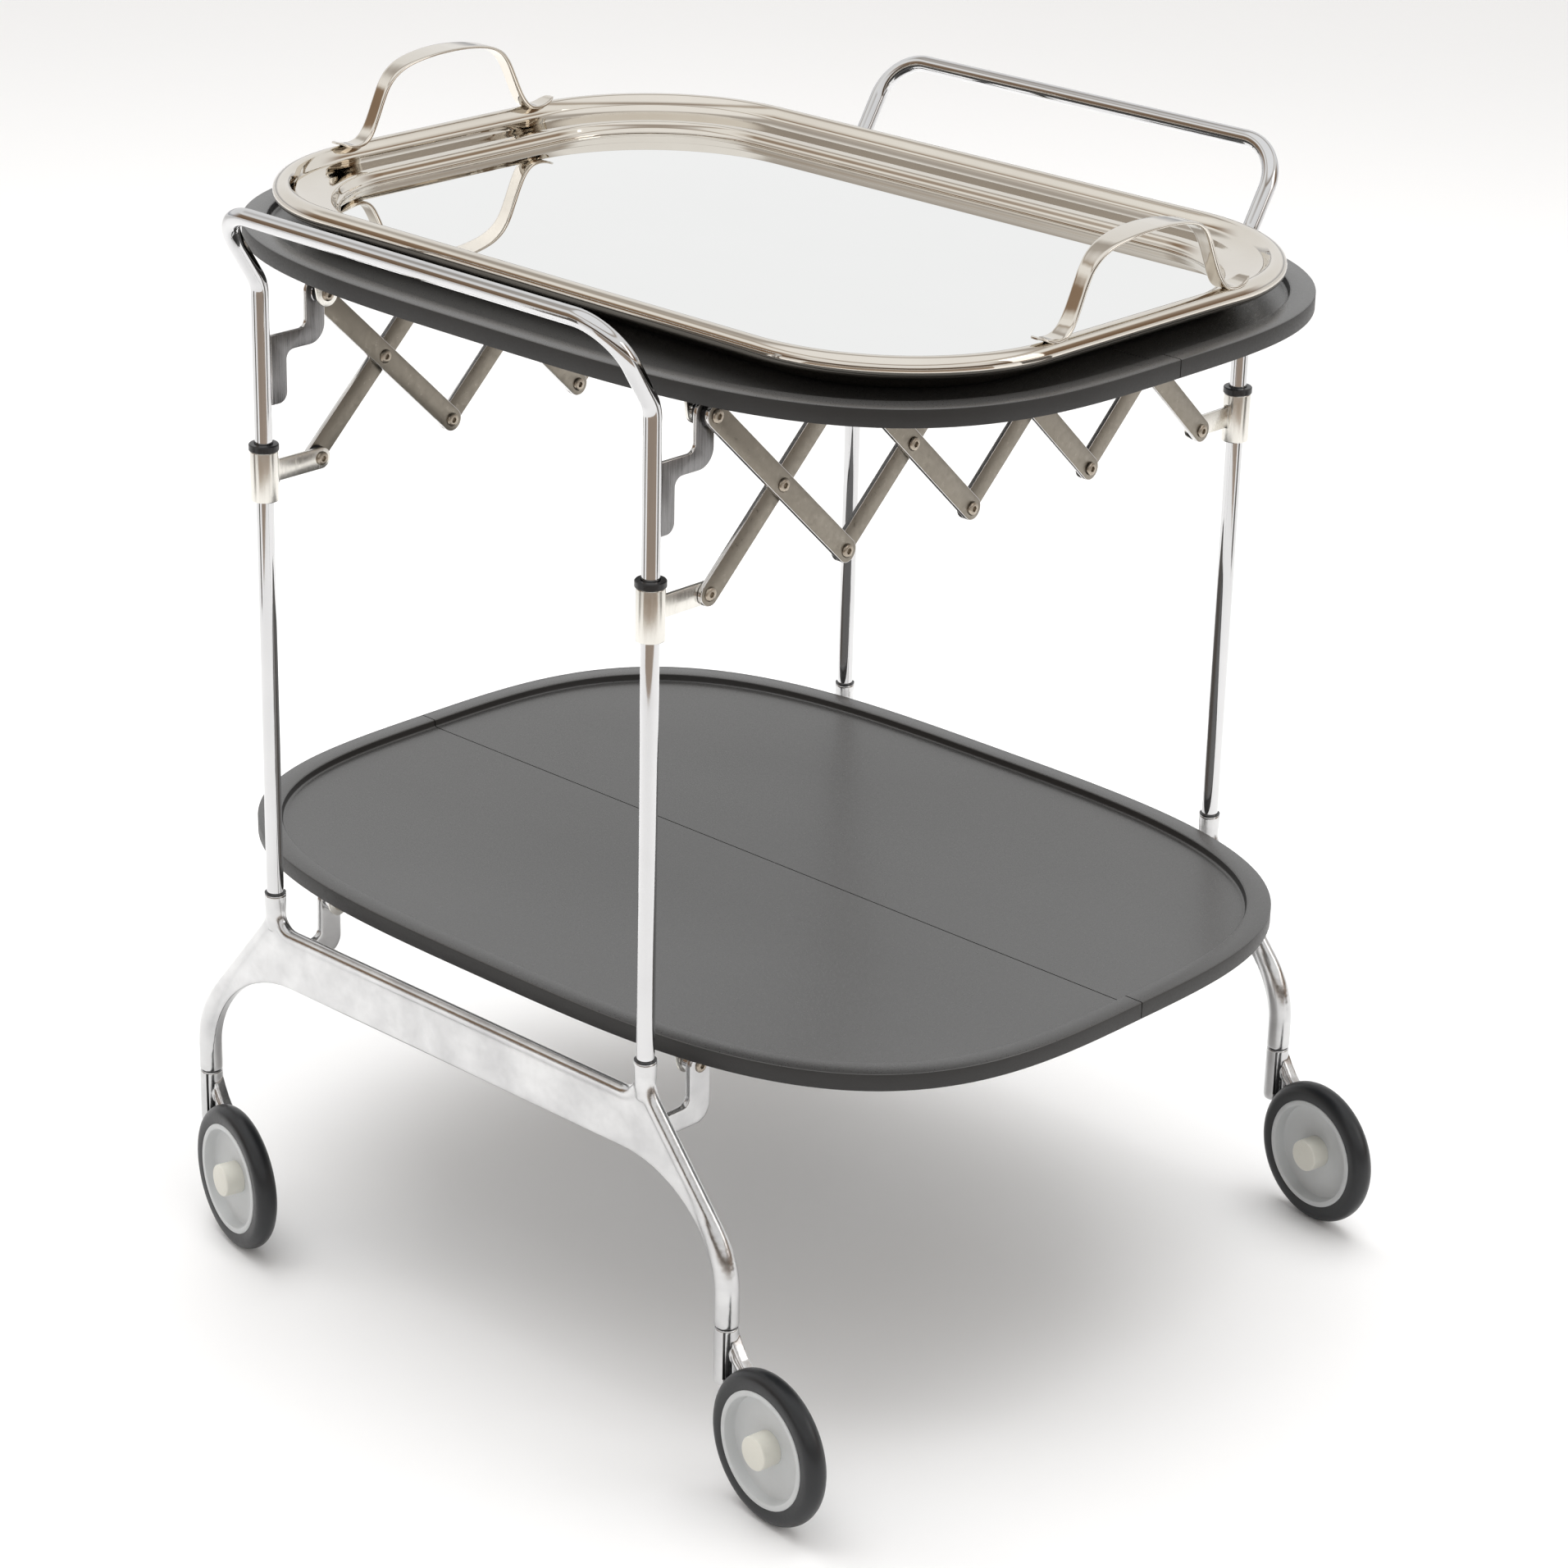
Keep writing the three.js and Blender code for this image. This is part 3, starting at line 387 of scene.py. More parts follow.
def build(name, parts, material, body, nodes=(), turn=False,
          bevel=0.0, smooth=35, voxel=0.0, edge=None):
    """Joins parts into one object in place, finishes its edges, and hangs it on its body.

    edge is a second material, an axis and a limit: a face whose normal leans to the axis by
    more than the limit keeps the first material; the other faces take the second, a darker
    or lighter copy that paints shade or highlight on them."""
    verts, faces = [], []
    for part_verts, part_faces in parts:
        base = len(verts)
        verts.extend(Vector(v) * MM for v in part_verts)
        faces.extend(tuple(i + base for i in face) for face in part_faces)
    mesh = bpy.data.meshes.new(name)
    mesh.from_pydata(verts, [], faces)
    mesh.validate()
    if turn:
        mesh.transform(HALF_TURN)
    mesh.transform(Matrix.Translation(Vector(SHIFT) * MM))
    made = bpy.data.objects.new(name, mesh)
    bpy.context.scene.collection.objects.link(made)
    bpy.context.view_layer.objects.active = made
    bpy.ops.object.select_all(action="DESELECT")
    made.select_set(True)
    bpy.ops.object.mode_set(mode="EDIT")
    bpy.ops.mesh.select_all(action="SELECT")
    bpy.ops.mesh.normals_make_consistent(inside=False)
    bpy.ops.object.mode_set(mode="OBJECT")
    made.data.materials.append(material)
    if voxel:
        remesh = made.modifiers.new("join", "REMESH")
        remesh.mode = "VOXEL"
        remesh.voxel_size = voxel * MM
        soften = made.modifiers.new("soften", "SMOOTH")
        soften.factor = 0.5
        soften.iterations = 8
        for modifier in list(made.modifiers):
            bpy.ops.object.modifier_apply(modifier=modifier.name)
        bpy.ops.object.shade_smooth()
    else:
        if bevel:
            edges = made.modifiers.new("edges", "BEVEL")
            edges.width = bevel * MM
            edges.segments = 2
            edges.limit_method = "ANGLE"
            edges.angle_limit = math.radians(38)
            edges.harden_normals = False
            bpy.ops.object.modifier_apply(modifier=edges.name)
        bpy.ops.object.shade_smooth_by_angle(angle=math.radians(smooth))
    if edge:
        second, axis, limit = edge
        made.data.materials.append(second)
        # Faces turned away from the axis take the second material: painted shade or painted highlight.
        for face in made.data.polygons:
            face.material_index = 0 if abs(face.normal[axis]) > limit else 1
    for node in nodes:
        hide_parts(node)
    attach(made, body)
    return made


def button(side, face, at):
    """A domed button head with a hexagon socket, standing on the plane x = face."""
    radius, height = 4.4, 1.5
    mouth, flats = 2.0, 0.88
    profile = [(0, -0.2), (radius - 0.3, -0.2), (radius, 0.05), (radius, 0.4), (radius * 0.95, 0.85)]
    profile += [(radius * 0.86, 1.15), (radius * 0.72, 1.38), (radius * 0.58, height)]
    profile += [(mouth, height), (1.9, height - 0.15), (1.85, 0.1), (0, 0.1)]
    flip = math.copysign(1, side)
    verts, faces = lathe([(r, flip * h) for r, h in profile], "x", (face, *at), 36)
    shaped = []
    for x, y, z in verts:
        dy, dz = y - at[0], z - at[1]
        radius_here = math.hypot(dy, dz)
        if 0.1 < radius_here < mouth + 0.05:
            angle = math.atan2(dz, dy) % (math.pi / 3) - math.pi / 6
            factor = flats / math.cos(angle)
            dy, dz = dy * factor, dz * factor
        shaped.append((x, at[0] + dy, at[1] + dz))
    return shaped, faces


def shank(side, inner, outer, at):
    low, high = layer(side, inner, outer)
    return lathe([(0, low), (SHANK_R, low), (SHANK_R, high), (0, high)], "x", (0, *at), 24)


def collar(side, inner, outer, at, radius):
    """A plain disc or barrel around a pin, with its edges broken."""
    low, high = layer(side, inner, outer)
    edge = 0.3
    profile = [(0, low), (radius - edge, low), (radius, low + edge)]
    profile += [(radius, high - edge), (radius - edge, high), (0, high)]
    return lathe(profile, "x", (0, *at), 40)


def rivet(side, inner, outer, at, heads=("inner", "outer")):
    """A shank through the layers, with a button head on each named end."""
    parts = [shank(side, inner, outer, at)]
    if "outer" in heads:
        parts.append(button(side, side * outer, at))
    if "inner" in heads:
        parts.append(button(-side, side * inner, at))
    return parts


def bar_outline(a, b):
    """A strip with round ends about a and b."""
    angle = math.degrees(math.atan2(b[1] - a[1], b[0] - a[0]))
    radius = BAR_WIDTH / 2
    start = arc(a[0], a[1], radius, angle + 90, angle + 270, 20)
    return start + arc(b[0], b[1], radius, angle - 90, angle + 90, 20)


def bracket_outline():
    """The S-shaped bracket, about the upper pivot: a strip down the leg, a step inwards and an eye."""
    foot = -(FRAME_Y - TUBE_R - PIVOT_Y) + 0.3
    outline = [(foot, -65), (-33, -65)]
    outline += arc(-33, -58.5, 6.5, -90, 0) + arc(-20.5, -38.3, 6, 180, 90)
    outline += arc(-7.5, -20.3, 12, -90, 0)
    outline += arc(0, 0, 10.5, -64.6, 180, 28) + arc(-15.5, -15.8, 5, 0, -90)
    return outline + [(foot, -20.8)]


def hook_outline():
    """The yoke's hook, about the lower pivot: an L that ends in a round eye."""
    root = -(FRAME_Y - PIVOT_Y)
    outline = [(root, -38.5), (-3, -38.5)]
    outline += arc(-3, -26.5, 12, -90, 0, 14)
    outline += arc(0, 0, 9.2, 0, 180, 24) + arc(-15.2, -18, 6, 0, -90)
    return outline + [(root, -24)]


def frame_tube(end, turn):
    """One bent tube: both legs, which lean outwards above the bend, and the push bar between them."""
    foot_z, bend_z = SOCKET_TOP - 17, 657
    corners = [(LEG_X, -FRAME_Y, foot_z), (LEG_X, -FRAME_Y, bend_z), (LEG_X, -HANDLE_Y, HANDLE_Z)]
    corners += [(-x, y, z) for x, y, z in reversed(corners)]
    path = bent(corners, [22, 30, 30, 22], 3)
    section = ellipse(TUBE_R, TUBE_R, 40)
    tube = sweep(path, lambda i: section, (0, -1, 0))
    build(f"{end}_chrome_tube", [tube], CHROME, f"{end}_frame", [f"{end}_frame_tube"],
          turn)


def yoke_web():
    """The flat web of the casting, arched between the two legs."""
    turns = [math.radians(4.5 * k) for k in range(21)]
    arch = [(150 + 81 * math.sin(a), 118 + 73 * math.cos(a)) for a in turns]
    leg = [(237.5, 118), (236, 134), (229, 151)]
    socket = [(173, 226), (169, 240), (163, 240), (158, 229), (150, 226.5)]
    right = [(150, 191)] + arch + leg + socket
    left = [(-x, z) for x, z in reversed(right)]
    return plate(right + left, -FRAME_Y - WEB_HALF, -FRAME_Y + WEB_HALF, "y")


def yoke_path(corners, radii, degrees, step):
    """A path in the yoke's plane, through corners of (x, z)."""
    return fine(bent([(x, -FRAME_Y, z) for x, z in corners], radii, degrees), step)


def yoke_bead():
    """The round bead along the top of the crossbar, turned up at the sockets."""
    x = LEG_X - 2.5
    path = yoke_path([(-x, 249), (-x, BEAD_Z), (x, BEAD_Z), (x, 249)], [15, 15], 6, 8)
    return sweep(path, lambda i: ellipse(4.8, 4.8, 28), (0, -1, 0))


def leg_ridge(side):
    """The ridge down the outside of a leg, which thins out over its last quarter."""
    high_x, low_x = side * LEG_X + side * 1.8, side * CASTER_X + side * 2.6
    path = yoke_path([(high_x, 250), (high_x, 233), (low_x, 146.5), (low_x, 122)], [28, 62], 4, 5)
    count = len(path)
    return sweep(path, lambda i: ellipse(4.9, 4.9 - 2.2 * max(0, i / count - 0.75) * 4, 28), (0, -1, 0))


def leg_core(side):
    """The leg itself, from the crossbar down to the caster."""
    high_x, low_x = side * LEG_X + side * 10, side * CASTER_X
    path = yoke_path([(high_x, 222), (low_x, 145.4), (low_x, 102.9)], [65], 4, 4)
    steps = len(path)
    return sweep(path, lambda i: leg_section(i / steps), (0, -1, 0))


def yoke(end, turn):
    parts = [yoke_web(), yoke_bead()]
    rings = []
    for side in (-1, 1):
        leg_at = (side * LEG_X, -FRAME_Y, 0)
        caster_at = (side * CASTER_X, -FRAME_Y, 0)
        socket = [(0, 226), (5.2, 228), (6.5, 236), (7.05, 246), (7.15, 252.9)]
        socket += [(6.85, SOCKET_TOP), (0, SOCKET_TOP)]
        hook = plate(hook_outline(), *layer(side, *HOOK))
        parts += [lathe(socket, "z", leg_at, 40), leg_ridge(side), leg_core(side)]
        parts.append(moved(hook, (0, -PIVOT_Y, LOWER_Z)))
        upper_seal = [(5.5, 253.4), (6.9, 253.4), (6.9, 254.0), (5.5, 254.0)]
        lower_seal = [(0, 102.45), (6.4, 102.45), (6.4, 103.2), (0, 103.2)]
        rings += [lathe(upper_seal, "z", leg_at, 40), lathe(lower_seal, "z", caster_at, 40)]
    build(f"{end}_cast_yoke", parts, CAST, f"{end}_frame", [f"{end}_yoke"],
          turn, voxel=1.0)
    build(f"{end}_yoke_seals", rings, BLACK, f"{end}_frame", (), turn)


def leg_section(t):
    """The leg's section: a slim web high up, and a full round where the caster joins."""
    grow = min(1.0, max(0.0, (t - 0.25) / 0.5))
    smooth = grow * grow * (3 - 2 * grow)
    across = 3.0 + 4.6 * smooth
    along = 5.0 + 2.6 * smooth
    return ellipse(across, along, 32)


def pivot_pins(end, side, hand, turn):
    """The pins of one leg's upper and lower pivots, with their spacers, barrel and washer."""
    upper = (-PIVOT_Y, UPPER_Z)
    lower = (-PIVOT_Y, LOWER_Z)
    bar_high = OUTER[1] if side > 0 else INNER[1]
    body = f"{end}_frame"
    heads = rivet(side, EAR[0] - 0.3, bar_high + 0.3, upper) + rivet(side, EAR[0] - 0.3, HOOK[1], lower)
    build(f"{end}_{hand}_pivot_pins", heads, HEAD_METAL, body, (), turn)
    spacers = [collar(side, EAR[1] + 0.3, HOOK[0] + 0.2, lower, 6.4)]
    spacers += [collar(side, at, at + 1.1, upper, 6.8) for at in (EAR[1] + 0.3, BRACKET[0] - 1.1)]
    build(f"{end}_{hand}_pivot_spacers", spacers, CHROME, body, (), turn)
    barrel = collar(side, EAR[1] + 0.9, BRACKET[0] - 0.6, upper, 6.4)
    build(f"{end}_{hand}_pivot_barrel", [barrel], BLACK, body, (), turn)
    if side > 0:
        washer = collar(side, BRACKET[1] + 0.1, OUTER[0] - 0.3, upper, 7.2)
        build(f"{end}_{hand}_pivot_washer", [washer], BLACK, body, (), turn)


def brackets_and_sliders(end, side, hand, turn):
    bracket = moved(plate(bracket_outline(), *layer(side, *BRACKET)), (0, -PIVOT_Y, UPPER_Z))
    # The bracket's edges take the lighter metal: painted highlight.
    build(f"{end}_{hand}_s_bracket", [bracket], BRUSHED, f"{end}_frame", [f"{end}_{hand}_upper_bracket"],
          turn, bevel=0.35, edge=(EDGE_HIGHLIGHT, 0, 0.95))
    pivot_pins(end, side, hand, turn)
    sleeve = f"{end}_{hand}_slider_sleeve"
    bushing = f"{end}_{hand}_slider_bushing"
    low, high = SLEEVE_LOW, SLEEVE_HIGH
    leg_at = (side * LEG_X, -FRAME_Y, 0)
    tube = [(7.0, low), (8.5, low), (SLEEVE_R, low + 0.35)]
    tube += [(SLEEVE_R, high - 0.35), (8.5, high), (7.0, high)]
    root = -(FRAME_Y - SLEEVE_R - PIVOT_Y) - 1.5
    tab = [(root, -TAB_R)] + arc(0, 0, TAB_R, -90, 90, 24) + [(root, TAB_R)]
    weld = [(root - 1, -8), (root + 2.6, -7.6), (root + 3.2, 0), (root + 2.6, 7.6), (root - 1, 8)]
    x0, x1 = layer(side, *BRACKET)
    parts = [
        lathe(tube, "z", leg_at, 64),
        moved(plate(tab, x0, x1), (0, -PIVOT_Y, SLIDER_Z)),
        moved(plate(weld, x0 - 0.7, x1 + 0.7), (0, -PIVOT_Y, SLIDER_Z)),
    ]
    build(f"{end}_{hand}_sleeve", parts, SATIN, f"{end}_sliders", [sleeve],
          turn, bevel=0.3)
    ring = [(5.8, low + 1), (6.8, low + 1), (6.8, high + 0.2), (9.0, high + 0.2), (9.4, high + 0.6)]
    ring += [(9.4, 554.9), (8.9, 555.5), (6.4, 555.6), (5.8, 555.2)]
    seal = [(5.8, low - 0.2), (7.0, low - 0.2), (7.0, low + 0.6), (5.8, low + 0.6)]
    bush = [lathe(ring, "z", leg_at, 64), lathe(seal, "z", leg_at, 64)]
    build(f"{end}_{hand}_bushing", bush, BLACK, f"{end}_sliders", [bushing],
          turn)


def node_at(row, k):
    """Where the chain's k-th pivot of a row is, as (y, z)."""
    return (-PIVOT_Y + k * CELL, UPPER_Z if row == "up" else SLIDER_Z)


def cross(k):
    """Where the two bars of the k-th cell cross, as (y, z)."""
    return (-PIVOT_Y + (k - 0.5) * CELL, (UPPER_Z + SLIDER_Z) / 2)


def chain(end, side, hand, turn):
    """The half-chain of four bars on one side of one end: two outside, two inside."""
    bars = {
        "falling_1": (node_at("up", 0), node_at("low", 1), [cross(1), node_at("low", 1)], []),
        "rising_1": (node_at("low", 0), node_at("up", 1), [node_at("up", 1)], []),
        "rising_2": (node_at("low", 1), node_at("up", 2), [cross(2)], [node_at("up", 2)]),
        "falling_2": (node_at("up", 1), node_at("low", 2), [], [node_at("low", 2)]),
    }
    for name, (start, stop, rivets, studs) in bars.items():
        outside = name.startswith("falling") == (side > 0)
        low, high = OUTER if outside else INNER
        body = f"{end}_bars_{name}"
        strip = plate(bar_outline(start, stop), *layer(side, low, high))
        # The strip's edges take the lighter metal: painted highlight.
        build(f"{end}_{hand}_{name}_strip", [strip], BAR_METAL, body, [f"{end}_{hand}_bar_{name}"],
              turn, bevel=0.4, edge=(EDGE_HIGHLIGHT, 0, 0.95))
        parts = []
        for at in rivets:
            inner = INNER[0] - (0.3 if outside else 0)
            outer = OUTER[1] + (0 if outside else 0.3)
            parts += rivet(side, inner, outer, at)
        for at in studs:
            parts += rivet(side, low, high, at, ("outer",) if outside else ("inner",))
        if name == "rising_1":
            parts += rivet(side, BRACKET[0] - 0.3, high, node_at("low", 0))
            if outside:
                washer = collar(side, BRACKET[1] + 0.3, low, node_at("low", 0), 7.0)
                build(f"{end}_{hand}_slider_washer", [washer], BLACK, body, (), turn)
        build(f"{end}_{hand}_{name}_rivets", parts, HEAD_METAL, body, (), turn)


# ---- shelves ----

# Heights over a shelf's pivot: a hair under its floor, and under an ear's foot and a hinge's leaf.
FLOOR_UNDER = 12.4
EAR_UNDER = 10.6
LEAF_UNDER = 10.9


def shelf_ring(inset, seam):
    """The front half of the shelf's outline, from +X round to -X, moved in by inset."""
    a, b = SHELF_A - inset, SHELF_B - inset
    points = []
    for i in range(SHELF_STEPS + 1):
        angle = -math.pi * i / SHELF_STEPS
        c, s = math.cos(angle), math.sin(angle)
        reach = (abs(c / a) ** SHELF_POWER + abs(s / b) ** SHELF_POWER) ** (-1 / SHELF_POWER)
        points.append((reach * c, min(reach * s, seam)))
    points[0] = (a, seam)
    points[-1] = (-a, seam)
    return points


def half_shelf(pivot_z):
    """A shelf's front half: a thin floor in a raised rim, as rows of (inset, height over the pivot)."""
    seam = -0.4
    edge = 4.0
    under = [(edge, 12.5), (edge, 9.8), (edge - 0.3, 9.5), (0.7, 9.5), (0.2, 9.7), (0, 10.2)]
    rim = [(0, 20.1), (0.1, 20.5), (0.35, 20.8), (0.8, 21.0), (12.8, 21.0), (13.4, 20.85)]
    step = [(13.8, 20.5), (14.0, 20.0), (14.2, 17.4), (14.6, 16.6), (15.3, 16.15), (16.4, 16.0)]
    profile = under + rim + step
    rings = [shelf_ring(inset, seam) for inset, _ in profile]
    size = len(rings[0])
    verts = [(x, y, pivot_z + z) for ring, (_, z) in zip(rings, profile) for x, y in ring]
    faces = []
    for row in range(len(profile) - 1):
        for i in range(size - 1):
            a = row * size + i
            faces.append((a, a + 1, a + 1 + size, a + size))
    last = (len(profile) - 1) * size
    faces.append(tuple(range(size)))
    faces.append(tuple(range(last + size - 1, last - 1, -1)))
    right = [row * size for row in range(len(profile))]
    left = [row * size + size - 1 for row in range(len(profile))]
    faces.append(tuple(right + left[::-1]))
    return verts, faces


def ear(side, pivot_z):
    """A round ear on the pivot pin, with its foot under the shelf."""
    eye = [(10, FLOOR_UNDER), (-10, FLOOR_UNDER)] + arc(0, 0, 8, 188, 352, 24)
    foot = layer(side, EAR[0] - 22, EAR[1])
    pad = rectangle(*foot, -PIVOT_Y - 10, -PIVOT_Y + 10)
    return [
        moved(plate(eye, *layer(side, *EAR)), (0, -PIVOT_Y, pivot_z)),
        plate(pad, pivot_z + EAR_UNDER, pivot_z + FLOOR_UNDER, "z"),
    ]


def hinge_leaf(end, middle, axis_z, pivot_z):
    """Half a hinge at the seam: one knuckle in the middle at the front, one on either side at the rear."""
    under, half = pivot_z + LEAF_UNDER, 22
    leaf = rectangle(middle - half, middle + half, -24, -5)
    parts = [plate(leaf, under, pivot_z + FLOOR_UNDER, "z")]
    for a, b in [(-7, 7)] if end == "front" else [(-half, -7.3), (7.3, half)]:
        start, stop = middle + a, middle + b
        knuckle = [(1.7, start), (3.4, start), (3.7, start + 0.3)]
        knuckle += [(3.7, stop - 0.3), (3.4, stop), (1.7, stop)]
        parts.append(lathe(knuckle, "x", (0, 0, axis_z), 32))
        parts.append(plate(rectangle(start, stop, -6, -0.2), under, pivot_z + 12.1, "z"))
    return parts


def shelf(level, pivot_z):
    for end, turn in (("front", False), ("rear", True)):
        body = f"{level}_shelf_{end}_half"
        # The shelf's steep side faces take the darker copy of its plastic: painted shade.
        build(f"{level}_{end}_shelf_half", [half_shelf(pivot_z)], SHELF, body, [f"{level}_shelf_{end}"],
              turn, edge=(SHELF_SIDE_SHADE, 2, 0.6))
        ears, leaves, screws = [], [], []
        for side in (-1, 1):
            ears += ear(side, pivot_z)
            middle = side * mid(f"{level}_seam_pin_right", 0)
            axis_z = mid(f"{level}_seam_pin_right", 2)
            leaves += hinge_leaf(end, middle, axis_z, pivot_z)
            ear_x = side * (EAR[0] - 12)
            screws += [screw((middle + dx, -15, pivot_z + LEAF_UNDER)) for dx in (-15, 15)]
            screws += [screw((ear_x, -PIVOT_Y + dy, pivot_z + EAR_UNDER)) for dy in (-4, 5)]
        build(f"{level}_{end}_ears", ears, SATIN, body, (), turn, bevel=0.3)
        build(f"{level}_{end}_hinge_leaves", leaves, SATIN, body, (), turn, bevel=0.25)
        build(f"{level}_{end}_screws", screws, DARK_STEEL, body, (), turn)
    for hand, side in (("left", -1), ("right", 1)):
        node = f"{level}_seam_pin_{hand}"
        low, high = low_mm(node, 0), high_mm(node, 0)
        profile = [(0, low), (1.2, low), (1.4, low + 0.3), (1.4, high - 0.3), (1.2, high), (0, high)]
        pin = lathe(profile, "x", (0, mid(node, 1), mid(node, 2)), 24)
        build(f"{level}_{hand}_hinge_pin", [pin], SATIN, f"{level}_shelf_front_half", [node])


def screw(at):
    """A screw head that faces down, with a plain dimple for its recess."""
    profile = [(0, 0.4), (3.2, 0.4), (3.2, -0.2), (2.9, -0.6), (1.4, -0.9), (1.2, -0.5), (0, -0.3)]
    return lathe(profile, "z", at, 28)


# ---- casters, about their swivel axis, trailing towards +X ----

TRAIL, WHEEL_Z = 54.6, 48.8
TYRE_CLEARANCE_R = 50.4


def caster_housing():
    neck = [(0, 64), (5.8, 64), (7.0, 64.8), (7.5, 67), (7.6, 90), (7.5, 101.8), (7.1, 102.3), (0, 102.3)]
    arm = [(-6, 99), (6, 97.5), (9.5, 92), (15, 85), (24, 77.5), (36, 69.5), (50, 61)]
    arm += arc(TRAIL, WHEEL_Z, 9.6, 65, -132, 26) + [(34, 46), (20, 53), (6, 60), (-4, 66)]
    return [lathe(neck, "z", (0, 0, 0), 48), plate(arm, -1.0, 5.8, "y")]


def hood():
    """The web that flares from the neck over the front of the wheel."""
    rows = [(97, 6.5, 2.0), (90, 8.5, 4.0), (84, 12.5, 4.5), (79, 18.0, 4.2), (74.5, 25.0, 3.4)]
    path = [Vector((x - 3, 1.5, z)) for z, x, _ in rows]
    return sweep(path, lambda i: ellipse(rows[i][2], 3.6, 20), (0, -1, 0))


def tyre_profile():
    profile = [(37.2, -3.3), (38.5, -2.9)]
    for k in range(17):
        a = math.radians(90 - 180 * k / 16)
        profile.append((42.2 + 6.6 * math.cos(a), -10 + 7.4 * math.sin(a)))
    return profile + [(38.5, -17.1), (37.2, -16.7)]


def hub_profile():
    """A dished disc: its back towards the fork, its rim, and its hollow face."""
    back = [(3.8, -3.0), (9.5, -3.0), (9.8, -3.3), (10, -5.2), (11, -6.3), (30.5, -6.6), (33, -6.2)]
    back += [(33.9, -5.0), (34.2, -3.4), (34.6, -3.0)]
    rim = [(37.0, -2.9), (37.2, -3.2), (37.2, -16.8), (36.9, -17.2), (36.2, -17.4), (34.3, -17.4)]
    face = [(33.7, -17.1), (33.4, -16.4), (32.7, -11.4), (32.2, -10.3), (31.0, -9.6)]
    face += [(13, -9.2), (12.2, -9.4), (11.4, -9.6), (3.8, -9.6)]
    return back + rim + face


def cap_profile():
    crown = [(0, -22.6), (9.6, -22.6), (10.3, -22.4), (10.7, -21.9), (10.8, -21.2)]
    return crown + [(10.8, -9.7), (4.4, -9.7), (4.4, -18.4), (0, -18.4)]


def fork(corner, body):
    """The housing, with room for the wheel cut out of it."""
    housing = build(f"{corner}_fork", caster_housing() + [hood()], CAST, body,
                    [f"{corner}_caster_housing"], voxel=0.6)
    turns = [2 * math.pi * k / 96 for k in range(96)]
    room = [(TYRE_CLEARANCE_R * math.cos(a), TYRE_CLEARANCE_R * math.sin(a)) for a in turns]
    cylinder = moved(plate(room, -40, -1.8, "y"), (TRAIL, 0, WHEEL_Z))
    cutter = build(f"{corner}_cutter", [cylinder], CAST, body)
    trim = housing.modifiers.new("clearance", "BOOLEAN")
    trim.operation = "DIFFERENCE"
    trim.object = cutter
    bpy.context.view_layer.objects.active = housing
    bpy.ops.object.modifier_apply(modifier=trim.name)
    bpy.data.objects.remove(cutter)
    return housing


def caster(corner):
    x, y, _ = pivot_mm(f"{corner}_swivel")
    axis = joints[f"{corner}_roll"]["axis"]
    yaw = math.atan2(-axis[0], axis[1])
    shift = Matrix.Translation(Vector(SHIFT) * MM)
    stem = Matrix.Translation(Vector((x, y, 0)) * MM)
    place = shift @ stem @ Matrix.Rotation(yaw, 4, "Z") @ shift.inverted()
    body, wheel = f"{corner}_caster", f"{corner}_wheel"
    wheel_at = (TRAIL, 0, WHEEL_Z)
    nut = [(0, 5.6), (6.2, 5.6), (6.6, 6.0), (6.6, 8.2), (6.0, 8.8), (3.4, 9.2), (0, 9.3)]
    axle = [(0, -18), (3.4, -18), (3.4, 6), (0, 6)]
    washer = [(3.6, -2.6), (8.4, -2.6), (8.4, -1.4), (3.6, -1.4)]
    pieces = [
        fork(corner, body),
        build(f"{corner}_fork_seam", [split_line()], DARK_STEEL, body, ()),
        build(f"{corner}_axle", [lathe(nut, "y", wheel_at, 36), lathe(axle, "y", wheel_at, 28)], SATIN,
              body, ()),
        build(f"{corner}_axle_washer", [lathe(washer, "y", wheel_at, 40)], BLACK, body, ()),
        build(f"{corner}_tyre", [lathe(tyre_profile(), "y", wheel_at, 128)], TYRE, wheel,
              [f"{corner}_wheel_tyre"], smooth=50),
        build(f"{corner}_hub", [lathe(hub_profile(), "y", wheel_at, 128)], HUB, wheel,
              [f"{corner}_wheel_hub"]),
        build(f"{corner}_cap", [lathe(cap_profile(), "y", wheel_at, 72)], CAP, wheel,
              [f"{corner}_wheel_cap"]),
    ]
    for piece in pieces:
        piece.data.transform(place)


def split_line():
    """The dark parting line down the neck, on the wheel's side."""
    line = [(4.9, 70), (5.5, 70), (5.5, 101.5), (4.9, 101.5)]
    return plate(line, -6.6, -4.6, "y")


# ---- tray ----

TRAY_A = high_mm("tray_body", 0)
TRAY_B = high_mm("tray_body", 1)

# The tray's corners: their radius, the share of an inset that it shrinks by, and their steps.
TRAY_CORNER = 122
TRAY_EASE = 0.8
TRAY_CORNER_STEPS = 24

RIM_R = 6.5
MIRROR_INSET = TRAY_A - high_mm("tray_mirror", 0)


def tray_ring(inset, z):
    """A rounded rectangle, moved in from the tray's outline by inset."""
    points = []
    radius = TRAY_CORNER - TRAY_EASE * inset
    for corner in range(4):
        cx = (TRAY_A - inset - radius) * (1 if corner in (0, 3) else -1)
        cy = (TRAY_B - inset - radius) * (1 if corner < 2 else -1)
        for step in range(TRAY_CORNER_STEPS + 1):
            angle = math.pi / 2 * (corner + step / TRAY_CORNER_STEPS)
            points.append((cx + radius * math.cos(angle), cy + radius * math.sin(angle), z))
    return points


def loft(profile):
    """The tray's outline carried round a closed profile of (inset, height)."""
    rings = [tray_ring(inset, z) for inset, z in profile]
    size = len(rings[0])
    verts = [point for ring in rings for point in ring]
    faces = []
    for row in range(len(rings)):
        below = row * size
        above = (row + 1) % len(rings) * size
        for i in range(size):
            j = (i + 1) % size
            faces.append((below + i, below + j, above + j, above + i))
    return verts, faces


